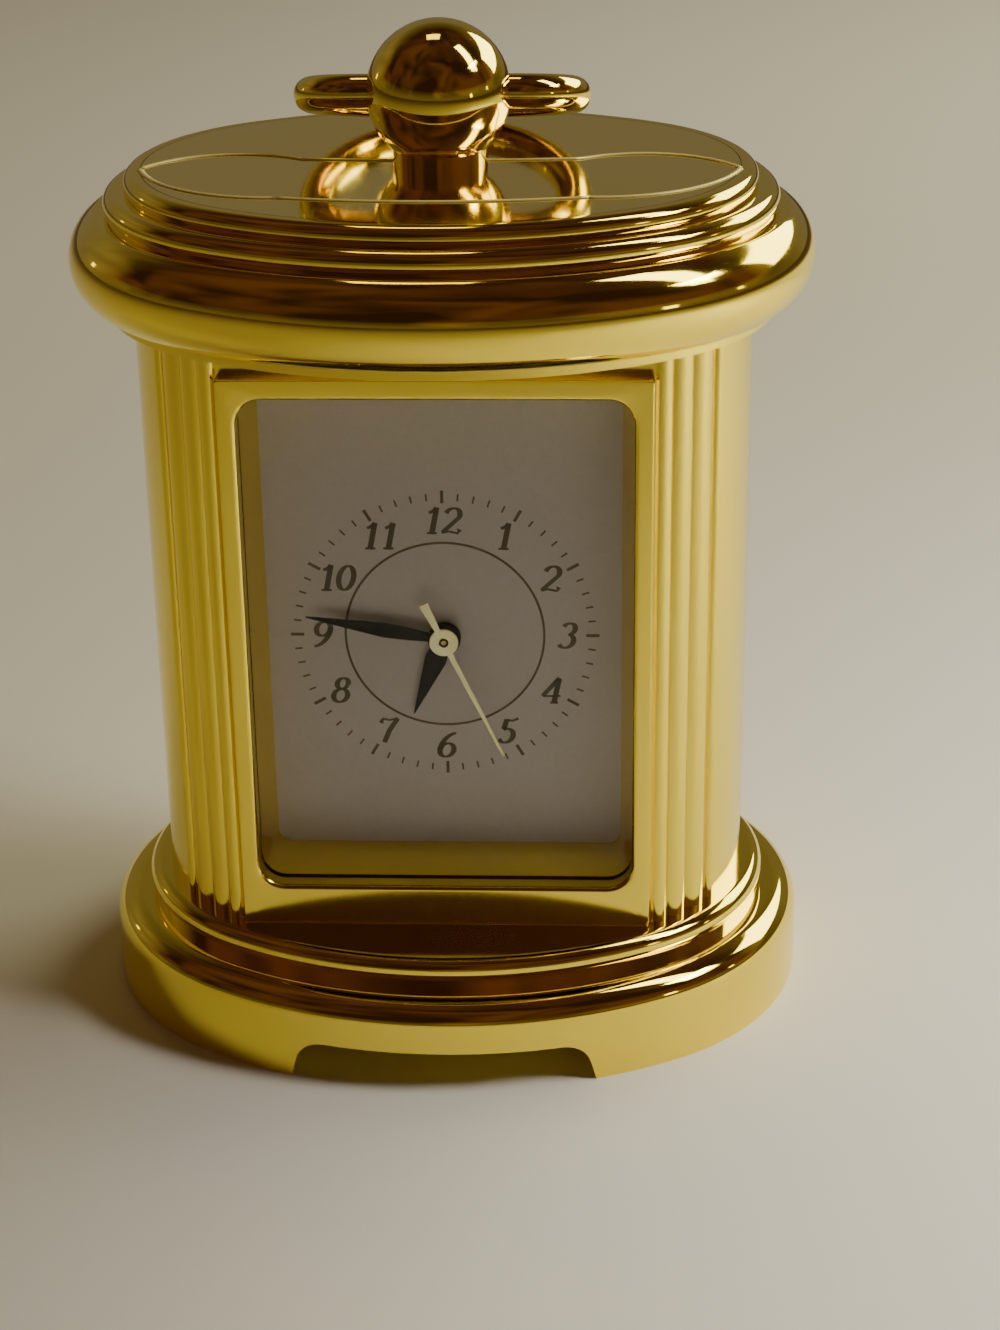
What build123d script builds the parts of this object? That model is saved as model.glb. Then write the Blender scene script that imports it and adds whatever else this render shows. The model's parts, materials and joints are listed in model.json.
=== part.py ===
from build123d import *
from math import asin, atan2, cos, degrees, radians, sin, sqrt
import os

# Miniature pendulette clock with an oval gilt case. Millimetres.
# Origin: middle of the feet's resting plane. +X to the viewer's right, +Y to the back, +Z up.

os.makedirs("parts", exist_ok=True)

# Shared values
OVERRUN = 1.0
FIT_CLEARANCE = 0.1
RUNNING_CLEARANCE = 0.05
SCREW_CLEARANCE = 0.05

# Four-centre oval that every moulding follows
HALF_WIDTH = 20.5
HALF_DEPTH = 15.2
END_RADIUS = 13.2
END_CENTRE = HALF_WIDTH - END_RADIUS
SIDE_RADIUS = (END_CENTRE**2 + HALF_DEPTH**2 - END_RADIUS**2) / (HALF_DEPTH - END_RADIUS) / 2
SIDE_CENTRE = SIDE_RADIUS - HALF_DEPTH
END_ANGLE = degrees(atan2(SIDE_CENTRE, END_CENTRE))
CORE_INSET = 3.0

# Plinth with feet
PLINTH_REACH = 4.1
PLINTH_WALL = 4.6
OVOLO_RADIUS = 1.8
PLINTH_TOP = PLINTH_WALL + OVOLO_RADIUS
FOOT_HEIGHT = 2.9
FOOT_RIM = 2.6
NOTCH_HALF = 10.15
NOTCH_SLANT = 0.5
NOTCH_CORNER = 2.0

# Base moulding that the case stands on
SHELF_RISE = 2.1
SHELF_HEIGHT = PLINTH_TOP + SHELF_RISE
BASE_ROLL_RADIUS = 0.9
BASE_ROLL_REACH = 1.6
BASE_QUIRK_REACH = 1.35
SPIGOT_HEIGHT = 0.8

# Case body
CASE_HEIGHT = 41.1
CASE_TOP = SHELF_HEIGHT + CASE_HEIGHT
CASE_WALL = 1.4
FLAT_DEPTH = 11.4
PANEL_THICKNESS = 1.2
INNER_FACE = FLAT_DEPTH - PANEL_THICKNESS
END_WALL = 1.2
PANEL_HALF = END_CENTRE + END_RADIUS * cos(radians(END_ANGLE))
REED_DEPTH = 0.45
REED_SPAN = 24.0
REED_SHARES = (0.29, 0.33, 0.38)
REED_BULGE_SHARE = 0.62

# Front panel with its window
PANEL_DROP = 1.8
PANEL_TOP = CASE_TOP - PANEL_DROP
WINDOW_HALF = 12.7
WINDOW_SILL = 2.8
WINDOW_BOTTOM = SHELF_HEIGHT + WINDOW_SILL
WINDOW_HEAD = 3.2
WINDOW_TOP = CASE_TOP - WINDOW_HEAD
WINDOW_CORNER = 1.7
WINDOW_BEVEL = 0.3

# Crystal, dial frame and dial
CRYSTAL_THICKNESS = 1.0
CRYSTAL_MARGIN = 0.55
DIAL_FACE = 6.2
DIAL_THICKNESS = 0.4
DIAL_HALF = 14.2
DIAL_MARGIN = 1.5
REVEAL_TAPER = 0.75
DIAL_CENTRE_RISE = 19.4
DIAL_CENTRE_Z = SHELF_HEIGHT + DIAL_CENTRE_RISE
DIAL_FOOT_RADIUS = 0.35
DIAL_FOOT_LENGTH = 1.0
DIAL_FOOT_X = 7.4

# Back cover
BACK_OPENING_HALF = 12.0
BACK_OPENING_MARGIN = 2.0
BACK_OPENING_CORNER = 2.0
COVER_RIM_WIDTH = 0.9
COVER_RIM_DEPTH = 2.0
FINGER_NOTCH_RADIUS = 3.2
FINGER_NOTCH_DEPTH = 0.6

# Cap: bullnose with its lip, cornice rolls and inset plate
LIP_REACH = 1.6
LIP_HEIGHT = 0.7
LIP_QUIRK = 0.2
BULLNOSE_RADIUS = 3.2
BULLNOSE_REACH = 4.0
BULLNOSE_RISE = 3.6
BULLNOSE_Z = CASE_TOP + BULLNOSE_RISE
CAP_HEIGHT = 6.5
CAP_TOP = CASE_TOP + CAP_HEIGHT
CAP_DECK = 1.6
CAP_WALL = 2.4
ROLL_LOW_RADIUS = 0.82
ROLL_LOW_REACH = 1.56
ROLL_LOW_RISE = 0.66
ROLL_LOW_Z = CAP_TOP + ROLL_LOW_RISE
ROLL_LOW_QUIRK = 0.2
ROLL_HIGH_RADIUS = 0.75
ROLL_HIGH_REACH = 0.15
CORNICE_HEIGHT = 2.65
PLATE_TOP = CAP_TOP + CORNICE_HEIGHT
PLATE_INSET = 1.0
PLATE_THICKNESS = 0.8

# Finial and bow handle
BALL_RADIUS = 4.7
BALL_RISE = 4.6
BALL_Z = PLATE_TOP + BALL_RISE
NECK_RADIUS = 3.1
STUD_RADIUS = 1.5
BOW_WIRE_RADIUS = 1.18
BOW_RADIUS = 8.6
BOW_CENTRE = 3.8
BOW_BEND = 3.5
BOW_PIN_START = 2.2
BALL_HOLE_RADIUS = BOW_WIRE_RADIUS + RUNNING_CLEARANCE
BOW_REST_GAP = 0.03
WASHER_RADIUS = 3.4
WASHER_THICKNESS = 0.5
NUT_RADIUS = 3.0
NUT_HEIGHT = 2.2

# Tie screws that clamp base, case and cap together
TIE_X = 16.2
TIE_RADIUS = 1.2
TIE_HEAD_RADIUS = 2.1
TIE_HEAD_HEIGHT = 1.3
TIE_SLOT_WIDTH = 0.5
TIE_SLOT_DEPTH = 0.6
TIE_BOSS_RADIUS = 2.5
TIE_GRIP = 3.0

# Movement holder and its screws
HOLDER_DEPTH = 3.4
EAR_X = 15.7
EAR_RADIUS = 1.4
EAR_THICKNESS = 1.4
EAR_RISE = 15.0
BOSS_RADIUS = 1.25
HOLDER_SCREW_RADIUS = 0.55
HOLDER_SCREW_HEAD = 1.15
HOLDER_SCREW_HEAD_HEIGHT = 0.7
HOLDER_SCREW_GRIP = 2.4
CHANNEL_HALF = 2.3
CHANNEL_END = 13.0

# Movement
MOVEMENT_HALF_X = 9.1
MOVEMENT_HALF_Z = 7.65
MOVEMENT_CORNER = 4.0
MAIN_PLATE_THICKNESS = 1.2
MOTION_RECESS = 0.8
BRIDGE_THICKNESS = 0.8
BRIDGE_EDGE = 0.6
CELL_RADIUS = 3.4
CELL_THICKNESS = 2.0
CELL_X = -4.8
CELL_Z = -2.4
CELL_BEVEL = 0.25
CELL_CAP_RADIUS = 2.6
CELL_CAP_HEIGHT = 0.2
CONTACT_THICKNESS = 0.15
CONTACT_HEIGHT = 1.4
CONTACT_SPAN = 70.0
CONTACT_AZIMUTH = 200.0

# Motion work
CANNON_TEETH = 12
MINUTE_WHEEL_TEETH = 36
MINUTE_PINION_TEETH = 10
HOUR_WHEEL_TEETH = 40
GEAR_CENTRES = 3.0
IDLER_AZIMUTH = 65.0
TOOTH_RISE = 0.09
TOOTH_FALL = 0.13
TOOTH_ROOT_SHARE = 0.46
TOOTH_TIP_SHARE = 0.22
HOUR_WHEEL_THICKNESS = 0.25
HOUR_PIPE_RADIUS = 0.75
HOUR_PIPE_BORE = 0.5
CANNON_RADIUS = 0.45
CANNON_BORE = 0.22
CANNON_THICKNESS = 0.25
ARBOR_RADIUS = 0.16
LEVEL_GAP = 0.12
IDLER_POST_RADIUS = 0.25

# Seconds wheel
SECONDS_TEETH = 24
SECONDS_WHEEL_RADIUS = 1.1
SECONDS_WHEEL_THICKNESS = 0.2

# Hands
HAND_THICKNESS = 0.15
HAND_GAP = 0.3
HOUR_HAND_LENGTH = 6.1
HOUR_HAND_WIDTH = 1.35
MINUTE_HAND_LENGTH = 9.45
MINUTE_HAND_WIDTH = 1.05
HAND_HUB_RADIUS = 1.1
LEAF_WIDEST_SHARE = 0.5
SECOND_HAND_LENGTH = 9.3
SECOND_HAND_TAIL = 3.1
SECOND_HAND_ROOT = 0.32
SECOND_HAND_TIP = 0.18
SECOND_TAIL_WIDTH = 0.5
SECOND_HUB_RADIUS = 1.0
HOUR_ANGLE = 201.0
MINUTE_ANGLE = 280.0
SECOND_ANGLE = 155.0

# Coil
COIL_RADIUS = 0.85
COIL_HALF = 3.2
COIL_Z = 6.1
CORE_HALF = 5.4
CORE_THICKNESS = 0.5
CORE_HEIGHT = 1.2

# Keyless work
STEM_RADIUS = 0.45
STEM_START = 4.2
STEM_DEPTH = 1.7
STEM_GROOVE_RADIUS = 0.28
STEM_GROOVE_X = 6.6
STEM_GROOVE_WIDTH = 0.4
CROWN_START = 10.4
CROWN_LENGTH = 1.7
CROWN_RADIUS = 1.5
CROWN_FLUTES = 20
CROWN_FLUTE_RADIUS = 0.14
LEVER_THICKNESS = 0.35
LEVER_WIDTH = 1.7
LEVER_TOP = 1.1
LEVER_BOTTOM = 3.4
BEARING_START = 8.0
BEARING_HALF = 1.0
BEARING_HEIGHT = 1.7

# Clamps and small screws
CLAMP_X = 5.6
CLAMP_WIDTH = 2.2
CLAMP_OVERLAP = 1.1
CLAMP_THICKNESS = 0.35
SMALL_SCREW_RADIUS = 0.4
SMALL_HEAD_RADIUS = 0.8
SMALL_HEAD_HEIGHT = 0.4
SMALL_SCREW_GRIP = 1.2
BRIDGE_SCREW_PLACES_SHARES = ((-0.78, 0.42), (0.78, 0.5), (0.5, -0.72))

# Levels along Y, worked out from the values above (the front is negative)
CRYSTAL_FRONT = -INNER_FACE
CRYSTAL_BACK = CRYSTAL_FRONT + CRYSTAL_THICKNESS
DIAL_FRONT = -DIAL_FACE
DIAL_BACK = DIAL_FRONT + DIAL_THICKNESS
HOLDER_BACK = DIAL_BACK + HOLDER_DEPTH
PLATE_BACK = DIAL_BACK + MAIN_PLATE_THICKNESS
BRIDGE_FRONT = HOLDER_BACK - BRIDGE_THICKNESS
HOUR_WHEEL_FRONT = DIAL_BACK + LEVEL_GAP / 2
HOUR_WHEEL_BACK = HOUR_WHEEL_FRONT + HOUR_WHEEL_THICKNESS
CANNON_FRONT = HOUR_WHEEL_BACK + LEVEL_GAP
CANNON_BACK = CANNON_FRONT + CANNON_THICKNESS
HOUR_HAND_BACK = DIAL_FRONT - HAND_GAP
MINUTE_HAND_BACK = HOUR_HAND_BACK - HAND_THICKNESS - HAND_GAP
SECOND_HAND_BACK = MINUTE_HAND_BACK - HAND_THICKNESS - HAND_GAP
STEM_Y = DIAL_BACK + STEM_DEPTH
BALL_FOOT = BALL_Z - sqrt(BALL_RADIUS**2 - NECK_RADIUS**2)
BOW_SLOPE = degrees(
    asin((BALL_Z - PLATE_TOP - BOW_WIRE_RADIUS - BOW_REST_GAP) / (BOW_CENTRE + BOW_RADIUS))
)


def oval_face(offset):
    """Oval face whose edge lies a true offset outside the case body."""
    end = END_RADIUS + offset
    side = SIDE_RADIUS + offset
    side_arc = 180 - 2 * END_ANGLE
    right = CenterArc((END_CENTRE, 0), end, -END_ANGLE, 2 * END_ANGLE)
    back = CenterArc((0, -SIDE_CENTRE), side, END_ANGLE, side_arc)
    left = CenterArc((-END_CENTRE, 0), end, 180 - END_ANGLE, 2 * END_ANGLE)
    front = CenterArc((0, SIDE_CENTRE), side, 180 + END_ANGLE, side_arc)
    return make_face([right, back, left, front])


def oval_prism(offset, bottom, top):
    """Upright prism on the offset oval."""
    return extrude(Pos(0, 0, bottom) * oval_face(offset), top - bottom)


def block(inner, outer, bottom, top):
    """Rectangle of a moulding section, in offset and height."""
    middle = Pos((inner + outer) / 2, (bottom + top) / 2)
    return middle * Rectangle(outer - inner, top - bottom)


def bead(offset, height, radius):
    """Round of a moulding section."""
    return Pos(offset, height) * Circle(radius)


def moulding_sector(section, centre, radius, start, sweep):
    """Turn a moulding section about one centre of the oval."""
    outward = (cos(radians(start)), sin(radians(start)), 0)
    tangent = (sin(radians(start)), -cos(radians(start)), 0)
    plane = Plane(origin=(*centre, 0), x_dir=outward, z_dir=tangent)
    return revolve(plane * (Pos(radius, 0) * section), Axis((*centre, 0), (0, 0, 1)), sweep)


def oval_moulding(section, bottom, top):
    """Carry a moulding section round the oval and fill its middle."""
    side_arc = 180 - 2 * END_ANGLE
    solid = oval_prism(-CORE_INSET, bottom, top)
    solid += moulding_sector(section, (END_CENTRE, 0), END_RADIUS, -END_ANGLE, 2 * END_ANGLE)
    solid += moulding_sector(section, (0, -SIDE_CENTRE), SIDE_RADIUS, END_ANGLE, side_arc)
    solid += moulding_sector(section, (-END_CENTRE, 0), END_RADIUS, 180 - END_ANGLE, 2 * END_ANGLE)
    solid += moulding_sector(section, (0, SIDE_CENTRE), SIDE_RADIUS, 180 + END_ANGLE, side_arc)
    return solid


def slab(sketch, front, back):
    """Upright plate between two levels along Y, from a sketch in X and Z."""
    plane = Plane(origin=(0, back, 0), x_dir=(1, 0, 0), z_dir=(0, -1, 0))
    return extrude(plane * sketch, back - front)


def rod(x, z, radius, front, back):
    """Round bar along Y."""
    return slab(Pos(x, z) * Circle(radius), front, back)


def upright(x, y, radius, bottom, top):
    """Round bar along Z."""
    return extrude(Pos(x, y, bottom) * Circle(radius), top - bottom)


def window(half_width, bottom, top, corner):
    """Rounded upright opening, centred on X."""
    return Pos(0, (bottom + top) / 2) * RectangleRounded(2 * half_width, top - bottom, corner)


def gear_sketch(teeth, pitch_radius):
    """Toothed wheel with straight-flanked teeth."""
    root = pitch_radius - TOOTH_FALL
    tip = pitch_radius + TOOTH_RISE
    pitch = 360 / teeth
    points = []
    for tooth in range(teeth):
        for radius, share in (
            (root, -TOOTH_ROOT_SHARE / 2),
            (tip, -TOOTH_TIP_SHARE / 2),
            (tip, TOOTH_TIP_SHARE / 2),
            (root, TOOTH_ROOT_SHARE / 2),
        ):
            angle = radians((tooth + share) * pitch)
            points.append((radius * cos(angle), radius * sin(angle)))
    return make_face(Polyline(points, close=True))


# Base


def plinth():
    reach = PLINTH_REACH - OVOLO_RADIUS
    section = block(-CORE_INSET, PLINTH_REACH, 0, PLINTH_WALL)
    section += block(-CORE_INSET, reach, PLINTH_WALL, PLINTH_TOP)
    section += bead(reach, PLINTH_WALL, OVOLO_RADIUS)
    solid = oval_moulding(section, 0, PLINTH_TOP)
    solid -= oval_prism(PLINTH_REACH - FOOT_RIM, -OVERRUN, FOOT_HEIGHT)
    notch = Polygon(
        (-NOTCH_HALF - NOTCH_SLANT, -OVERRUN),
        (NOTCH_HALF + NOTCH_SLANT, -OVERRUN),
        (NOTCH_HALF - NOTCH_SLANT, FOOT_HEIGHT),
        (-NOTCH_HALF + NOTCH_SLANT, FOOT_HEIGHT),
        align=None,
    )
    corners = notch.vertices().group_by(Axis.Y)[-1]
    notch = fillet(corners, NOTCH_CORNER)
    reach_y = HALF_DEPTH + PLINTH_REACH + OVERRUN
    solid -= slab(notch, -reach_y, reach_y)
    for side in (-1, 1):
        solid -= upright(side * TIE_X, 0, TIE_RADIUS + FIT_CLEARANCE, 0, PLINTH_TOP + OVERRUN)
    return solid


def base_moulding():
    centre = BASE_ROLL_REACH - BASE_ROLL_RADIUS
    height = SHELF_HEIGHT - BASE_ROLL_RADIUS
    section = block(-CORE_INSET, BASE_QUIRK_REACH, PLINTH_TOP, height)
    section += block(-CORE_INSET, centre, height, SHELF_HEIGHT)
    section += bead(centre, height, BASE_ROLL_RADIUS)
    solid = oval_moulding(section, PLINTH_TOP, SHELF_HEIGHT)
    solid += spigot(SHELF_HEIGHT, SHELF_HEIGHT + SPIGOT_HEIGHT)
    for side in (-1, 1):
        bore = TIE_RADIUS + FIT_CLEARANCE
        solid -= upright(side * TIE_X, 0, bore, PLINTH_TOP - OVERRUN, SHELF_HEIGHT + 2 * OVERRUN)
    return solid


def spigot(bottom, top):
    """Raised land that locates inside the case body's walls."""
    land = oval_prism(-CASE_WALL - FIT_CLEARANCE, bottom, top)
    depth = INNER_FACE - END_WALL - FIT_CLEARANCE
    return land & extrude(Pos(0, 0, bottom) * Rectangle(2 * HALF_WIDTH, 2 * depth), top - bottom)


# Case


def reeding():
    """Band to cut away, and the reeds and rounded edge to put back, on one quarter of the oval."""
    inner = END_RADIUS - REED_DEPTH
    outer = END_RADIUS + OVERRUN
    edge = degrees(REED_DEPTH / END_RADIUS)
    start = END_ANGLE - REED_SPAN - edge
    corners = []
    for radius, angle in ((inner, start), (outer, start), (outer, END_ANGLE), (inner, END_ANGLE)):
        corners.append((radius * cos(radians(angle)), radius * sin(radians(angle))))
    band = make_face(
        [
            Line(corners[0], corners[1]),
            Line(corners[1], corners[2]),
            Line(corners[2], corners[3]),
            CenterArc((0, 0), inner, start, REED_SPAN + edge),
        ]
    )
    reeds = Sketch() + Pos(inner * cos(radians(start)), inner * sin(radians(start))) * Circle(REED_DEPTH)
    angle = END_ANGLE
    for share in REED_SHARES:
        width = share * radians(REED_SPAN) * END_RADIUS
        radius = REED_BULGE_SHARE * width
        middle = radians(angle - share * REED_SPAN / 2)
        place = END_RADIUS - radius
        reeds += Pos(place * cos(middle), place * sin(middle)) * Circle(radius)
        angle -= share * REED_SPAN
    return Pos(END_CENTRE, 0) * band, Pos(END_CENTRE, 0) * reeds


def case_section():
    """Cross-section of the reeded case tube."""
    outline = oval_face(0) & Rectangle(2 * HALF_WIDTH, 2 * FLAT_DEPTH)
    band, reeds = reeding()
    for flip_x in (False, True):
        for flip_y in (False, True):
            cut, rounds = band, reeds
            if flip_x:
                cut, rounds = mirror(cut, Plane.YZ), mirror(rounds, Plane.YZ)
            if flip_y:
                cut, rounds = mirror(cut, Plane.XZ), mirror(rounds, Plane.XZ)
            outline -= cut
            outline += rounds & oval_face(0) & Rectangle(2 * HALF_WIDTH, 2 * FLAT_DEPTH)
    seat = Rectangle(2 * PANEL_HALF, PANEL_THICKNESS + OVERRUN)
    for side in (-1, 1):
        outline -= Pos(0, side * (INNER_FACE + (PANEL_THICKNESS + OVERRUN) / 2)) * seat
    bore = oval_face(-CASE_WALL) & Rectangle(2 * HALF_WIDTH, 2 * (INNER_FACE - END_WALL))
    return outline - bore


def holder_screw_places():
    """Middles of the four holder screws, in X and Z."""
    return [(sx * EAR_X, DIAL_CENTRE_Z + sz * EAR_RISE) for sx in (-1, 1) for sz in (-1, 1)]


def case_body():
    solid = extrude(Pos(0, 0, SHELF_HEIGHT) * case_section(), CASE_TOP - SHELF_HEIGHT)
    margin = CRYSTAL_MARGIN + FIT_CLEARANCE
    crystal_hole = window(
        WINDOW_HALF + margin, WINDOW_BOTTOM - margin, WINDOW_TOP + margin, WINDOW_CORNER
    )
    solid -= slab(crystal_hole, -INNER_FACE - OVERRUN, -INNER_FACE + END_WALL + OVERRUN)
    solid -= slab(back_opening(0), INNER_FACE - END_WALL - OVERRUN, INNER_FACE + OVERRUN)
    for x, z in holder_screw_places():
        boss = rod(x, z, BOSS_RADIUS, -INNER_FACE + END_WALL / 2, DIAL_BACK)
        solid += boss & oval_prism(-CASE_WALL / 2, SHELF_HEIGHT, CASE_TOP)
        bore = HOLDER_SCREW_RADIUS + SCREW_CLEARANCE
        solid -= rod(x, z, bore, DIAL_BACK - HOLDER_SCREW_GRIP, DIAL_BACK + OVERRUN)
    return solid


def back_opening(inset):
    """Access opening in the back of the case, drawn in by an inset."""
    bottom = SHELF_HEIGHT + BACK_OPENING_MARGIN + inset
    top = PANEL_TOP - BACK_OPENING_MARGIN - inset
    return window(BACK_OPENING_HALF - inset, bottom, top, BACK_OPENING_CORNER)


def panel_outline(bottom):
    """Outline of the front panel and of the back cover."""
    half = PANEL_HALF - FIT_CLEARANCE
    return Pos(0, (bottom + PANEL_TOP) / 2) * Rectangle(2 * half, PANEL_TOP - bottom)


def front_panel():
    solid = slab(panel_outline(SHELF_HEIGHT), -FLAT_DEPTH, -INNER_FACE)
    opening = window(WINDOW_HALF, WINDOW_BOTTOM, WINDOW_TOP, WINDOW_CORNER)
    solid -= slab(opening, -FLAT_DEPTH - OVERRUN, -INNER_FACE + OVERRUN)
    rim = solid.faces().sort_by(Axis.Y)[0].inner_wires()[0].edges()
    return chamfer(rim, WINDOW_BEVEL)


def crystal():
    margin = CRYSTAL_MARGIN
    outline = window(
        WINDOW_HALF + margin, WINDOW_BOTTOM - margin, WINDOW_TOP + margin, WINDOW_CORNER
    )
    return slab(outline, CRYSTAL_FRONT, CRYSTAL_BACK)


def frame_outline():
    """Shared outline of dial frame, dial and movement holder."""
    bottom = WINDOW_BOTTOM - DIAL_MARGIN
    top = WINDOW_TOP + DIAL_MARGIN
    return Pos(0, (bottom + top) / 2) * Rectangle(2 * DIAL_HALF, top - bottom)


def dial_frame():
    """Gilt surround with sloped walls between the crystal and the dial."""
    front = -INNER_FACE + END_WALL
    solid = slab(frame_outline(), front, DIAL_FRONT)
    margin = CRYSTAL_MARGIN
    nose = window(
        WINDOW_HALF + margin, WINDOW_BOTTOM - margin, WINDOW_TOP + margin, WINDOW_CORNER
    )
    solid += slab(nose, CRYSTAL_BACK, front)
    sections = []
    for level, inset in ((CRYSTAL_BACK, 0), (DIAL_FRONT, REVEAL_TAPER)):
        outline = window(
            WINDOW_HALF - inset, WINDOW_BOTTOM + inset, WINDOW_TOP - inset, WINDOW_CORNER - inset / 2
        )
        plane = Plane(origin=(0, level, 0), x_dir=(1, 0, 0), z_dir=(0, -1, 0))
        sections.append(plane * outline)
    return solid - loft(sections)


def dial():
    solid = slab(frame_outline(), DIAL_FRONT, DIAL_BACK)
    bore = HOUR_PIPE_RADIUS + FIT_CLEARANCE
    solid -= rod(0, DIAL_CENTRE_Z, bore, DIAL_FRONT - OVERRUN, DIAL_BACK + OVERRUN)
    for side in (-1, 1):
        x = side * DIAL_FOOT_X
        solid += rod(x, DIAL_CENTRE_Z, DIAL_FOOT_RADIUS, DIAL_BACK, DIAL_BACK + DIAL_FOOT_LENGTH)
    return solid


def back_cover():
    solid = slab(panel_outline(SHELF_HEIGHT + FIT_CLEARANCE), INNER_FACE, FLAT_DEPTH)
    outer = back_opening(FIT_CLEARANCE)
    inner = back_opening(FIT_CLEARANCE + COVER_RIM_WIDTH)
    solid += slab(outer - inner, INNER_FACE - COVER_RIM_DEPTH, INNER_FACE)
    scoop = Pos(0, PANEL_TOP) * Circle(FINGER_NOTCH_RADIUS)
    return solid - slab(scoop, FLAT_DEPTH - FINGER_NOTCH_DEPTH, FLAT_DEPTH + OVERRUN)


# Cap


def cap_moulding():
    centre = BULLNOSE_REACH - BULLNOSE_RADIUS
    shoulder = CAP_TOP - BULLNOSE_Z
    reach = centre + sqrt(BULLNOSE_RADIUS**2 - shoulder**2)
    lip_top = CASE_TOP + LIP_HEIGHT
    section = block(-CORE_INSET, LIP_REACH, CASE_TOP, lip_top)
    section += block(-CORE_INSET, LIP_REACH - LIP_QUIRK, lip_top, BULLNOSE_Z)
    section += block(-CORE_INSET, reach, BULLNOSE_Z, CAP_TOP)
    round_part = bead(centre, BULLNOSE_Z, BULLNOSE_RADIUS)
    section += round_part & block(centre, BULLNOSE_REACH + OVERRUN, lip_top, CAP_TOP)
    solid = oval_moulding(section, CASE_TOP, CAP_TOP)
    solid += spigot(CASE_TOP - SPIGOT_HEIGHT, CASE_TOP)
    solid -= oval_prism(-CAP_WALL, CASE_TOP - OVERRUN - SPIGOT_HEIGHT, CAP_TOP - CAP_DECK) & extrude(
        Pos(0, 0, CASE_TOP - OVERRUN - SPIGOT_HEIGHT)
        * Rectangle(2 * HALF_WIDTH, 2 * (INNER_FACE - END_WALL - CAP_WALL + CASE_WALL)),
        CAP_TOP,
    )
    for side in (-1, 1):
        solid += upright(side * TIE_X, 0, TIE_BOSS_RADIUS, CASE_TOP, CAP_TOP - CAP_DECK)
        bore_top = CASE_TOP + TIE_GRIP + FIT_CLEARANCE
        bore = TIE_RADIUS + SCREW_CLEARANCE
        solid -= upright(side * TIE_X, 0, bore, CASE_TOP - OVERRUN, bore_top)
    return solid - stud_hole()


def stud_hole():
    """Clearance hole for the finial's stud through the cap stack."""
    bottom = CAP_TOP - CAP_DECK - OVERRUN
    return upright(0, 0, STUD_RADIUS + FIT_CLEARANCE, bottom, PLATE_TOP + OVERRUN)


def cornice():
    low = ROLL_LOW_REACH - ROLL_LOW_RADIUS
    low_top = ROLL_LOW_Z + ROLL_LOW_RADIUS
    high = ROLL_HIGH_REACH - ROLL_HIGH_RADIUS
    high_z = PLATE_TOP - ROLL_HIGH_RADIUS
    section = block(-CORE_INSET, ROLL_LOW_REACH - ROLL_LOW_QUIRK, CAP_TOP, ROLL_LOW_Z)
    section += block(-CORE_INSET, low, ROLL_LOW_Z, low_top)
    section += bead(low, ROLL_LOW_Z, ROLL_LOW_RADIUS) & block(
        low, ROLL_LOW_REACH + OVERRUN, CAP_TOP, low_top
    )
    section += block(-CORE_INSET, ROLL_HIGH_REACH - ROLL_LOW_QUIRK, low_top, high_z)
    section += block(-CORE_INSET, high, high_z, PLATE_TOP)
    section += bead(high, high_z, ROLL_HIGH_RADIUS) & block(
        high, ROLL_HIGH_REACH + OVERRUN, low_top, PLATE_TOP
    )
    solid = oval_moulding(section, CAP_TOP, PLATE_TOP)
    solid -= oval_prism(-PLATE_INSET, PLATE_TOP - PLATE_THICKNESS, PLATE_TOP + OVERRUN)
    return solid - stud_hole()


def top_plate():
    inset = -PLATE_INSET - RUNNING_CLEARANCE
    return oval_prism(inset, PLATE_TOP - PLATE_THICKNESS, PLATE_TOP) - stud_hole()


# Finial and bow


def finial():
    solid = Pos(0, 0, BALL_Z) * Sphere(BALL_RADIUS)
    solid -= extrude(
        Pos(0, 0, BALL_Z - BALL_RADIUS - OVERRUN) * Circle(BALL_RADIUS),
        BALL_FOOT - BALL_Z + BALL_RADIUS + OVERRUN,
    )
    solid += upright(0, 0, NECK_RADIUS, PLATE_TOP, BALL_FOOT)
    bottom = CAP_TOP - CAP_DECK - WASHER_THICKNESS - NUT_HEIGHT
    solid += upright(0, 0, STUD_RADIUS, bottom, PLATE_TOP)
    hole = extrude(Plane.YZ * Circle(BALL_HOLE_RADIUS), BALL_RADIUS + OVERRUN, both=True)
    return solid - Pos(0, 0, BALL_Z) * hole


def bow():
    """Round wire bow that lies back on the top plate."""
    bend_x = sqrt((BOW_RADIUS - BOW_BEND) ** 2 - (BOW_CENTRE - BOW_BEND) ** 2)
    reach = BOW_RADIUS / (BOW_RADIUS - BOW_BEND)
    join_x = bend_x * reach
    join_y = BOW_CENTRE - (BOW_CENTRE - BOW_BEND) * reach
    turn = degrees(atan2(join_y - BOW_BEND, join_x - bend_x))
    first_turn = 90 + turn
    ring_start = degrees(atan2(join_y - BOW_CENTRE, join_x))
    path = Wire(
        [
            Line((BOW_PIN_START, 0), (bend_x, 0)),
            CenterArc((bend_x, BOW_BEND), BOW_BEND, -90, first_turn),
            CenterArc((0, BOW_CENTRE), BOW_RADIUS, ring_start, 180 - 2 * ring_start),
            CenterArc((-bend_x, BOW_BEND), BOW_BEND, 180 - turn, first_turn),
            Line((-bend_x, 0), (-BOW_PIN_START, 0)),
        ]
    )
    section = Plane(origin=(BOW_PIN_START, 0, 0), z_dir=(1, 0, 0)) * Circle(BOW_WIRE_RADIUS)
    ring = sweep(section, path=path)
    return Pos(0, 0, BALL_Z) * Rot(-BOW_SLOPE, 0, 0) * ring


def finial_washer():
    top = CAP_TOP - CAP_DECK
    solid = upright(0, 0, WASHER_RADIUS, top - WASHER_THICKNESS, top)
    return solid - upright(0, 0, STUD_RADIUS + FIT_CLEARANCE, top - OVERRUN, top + OVERRUN)


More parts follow.
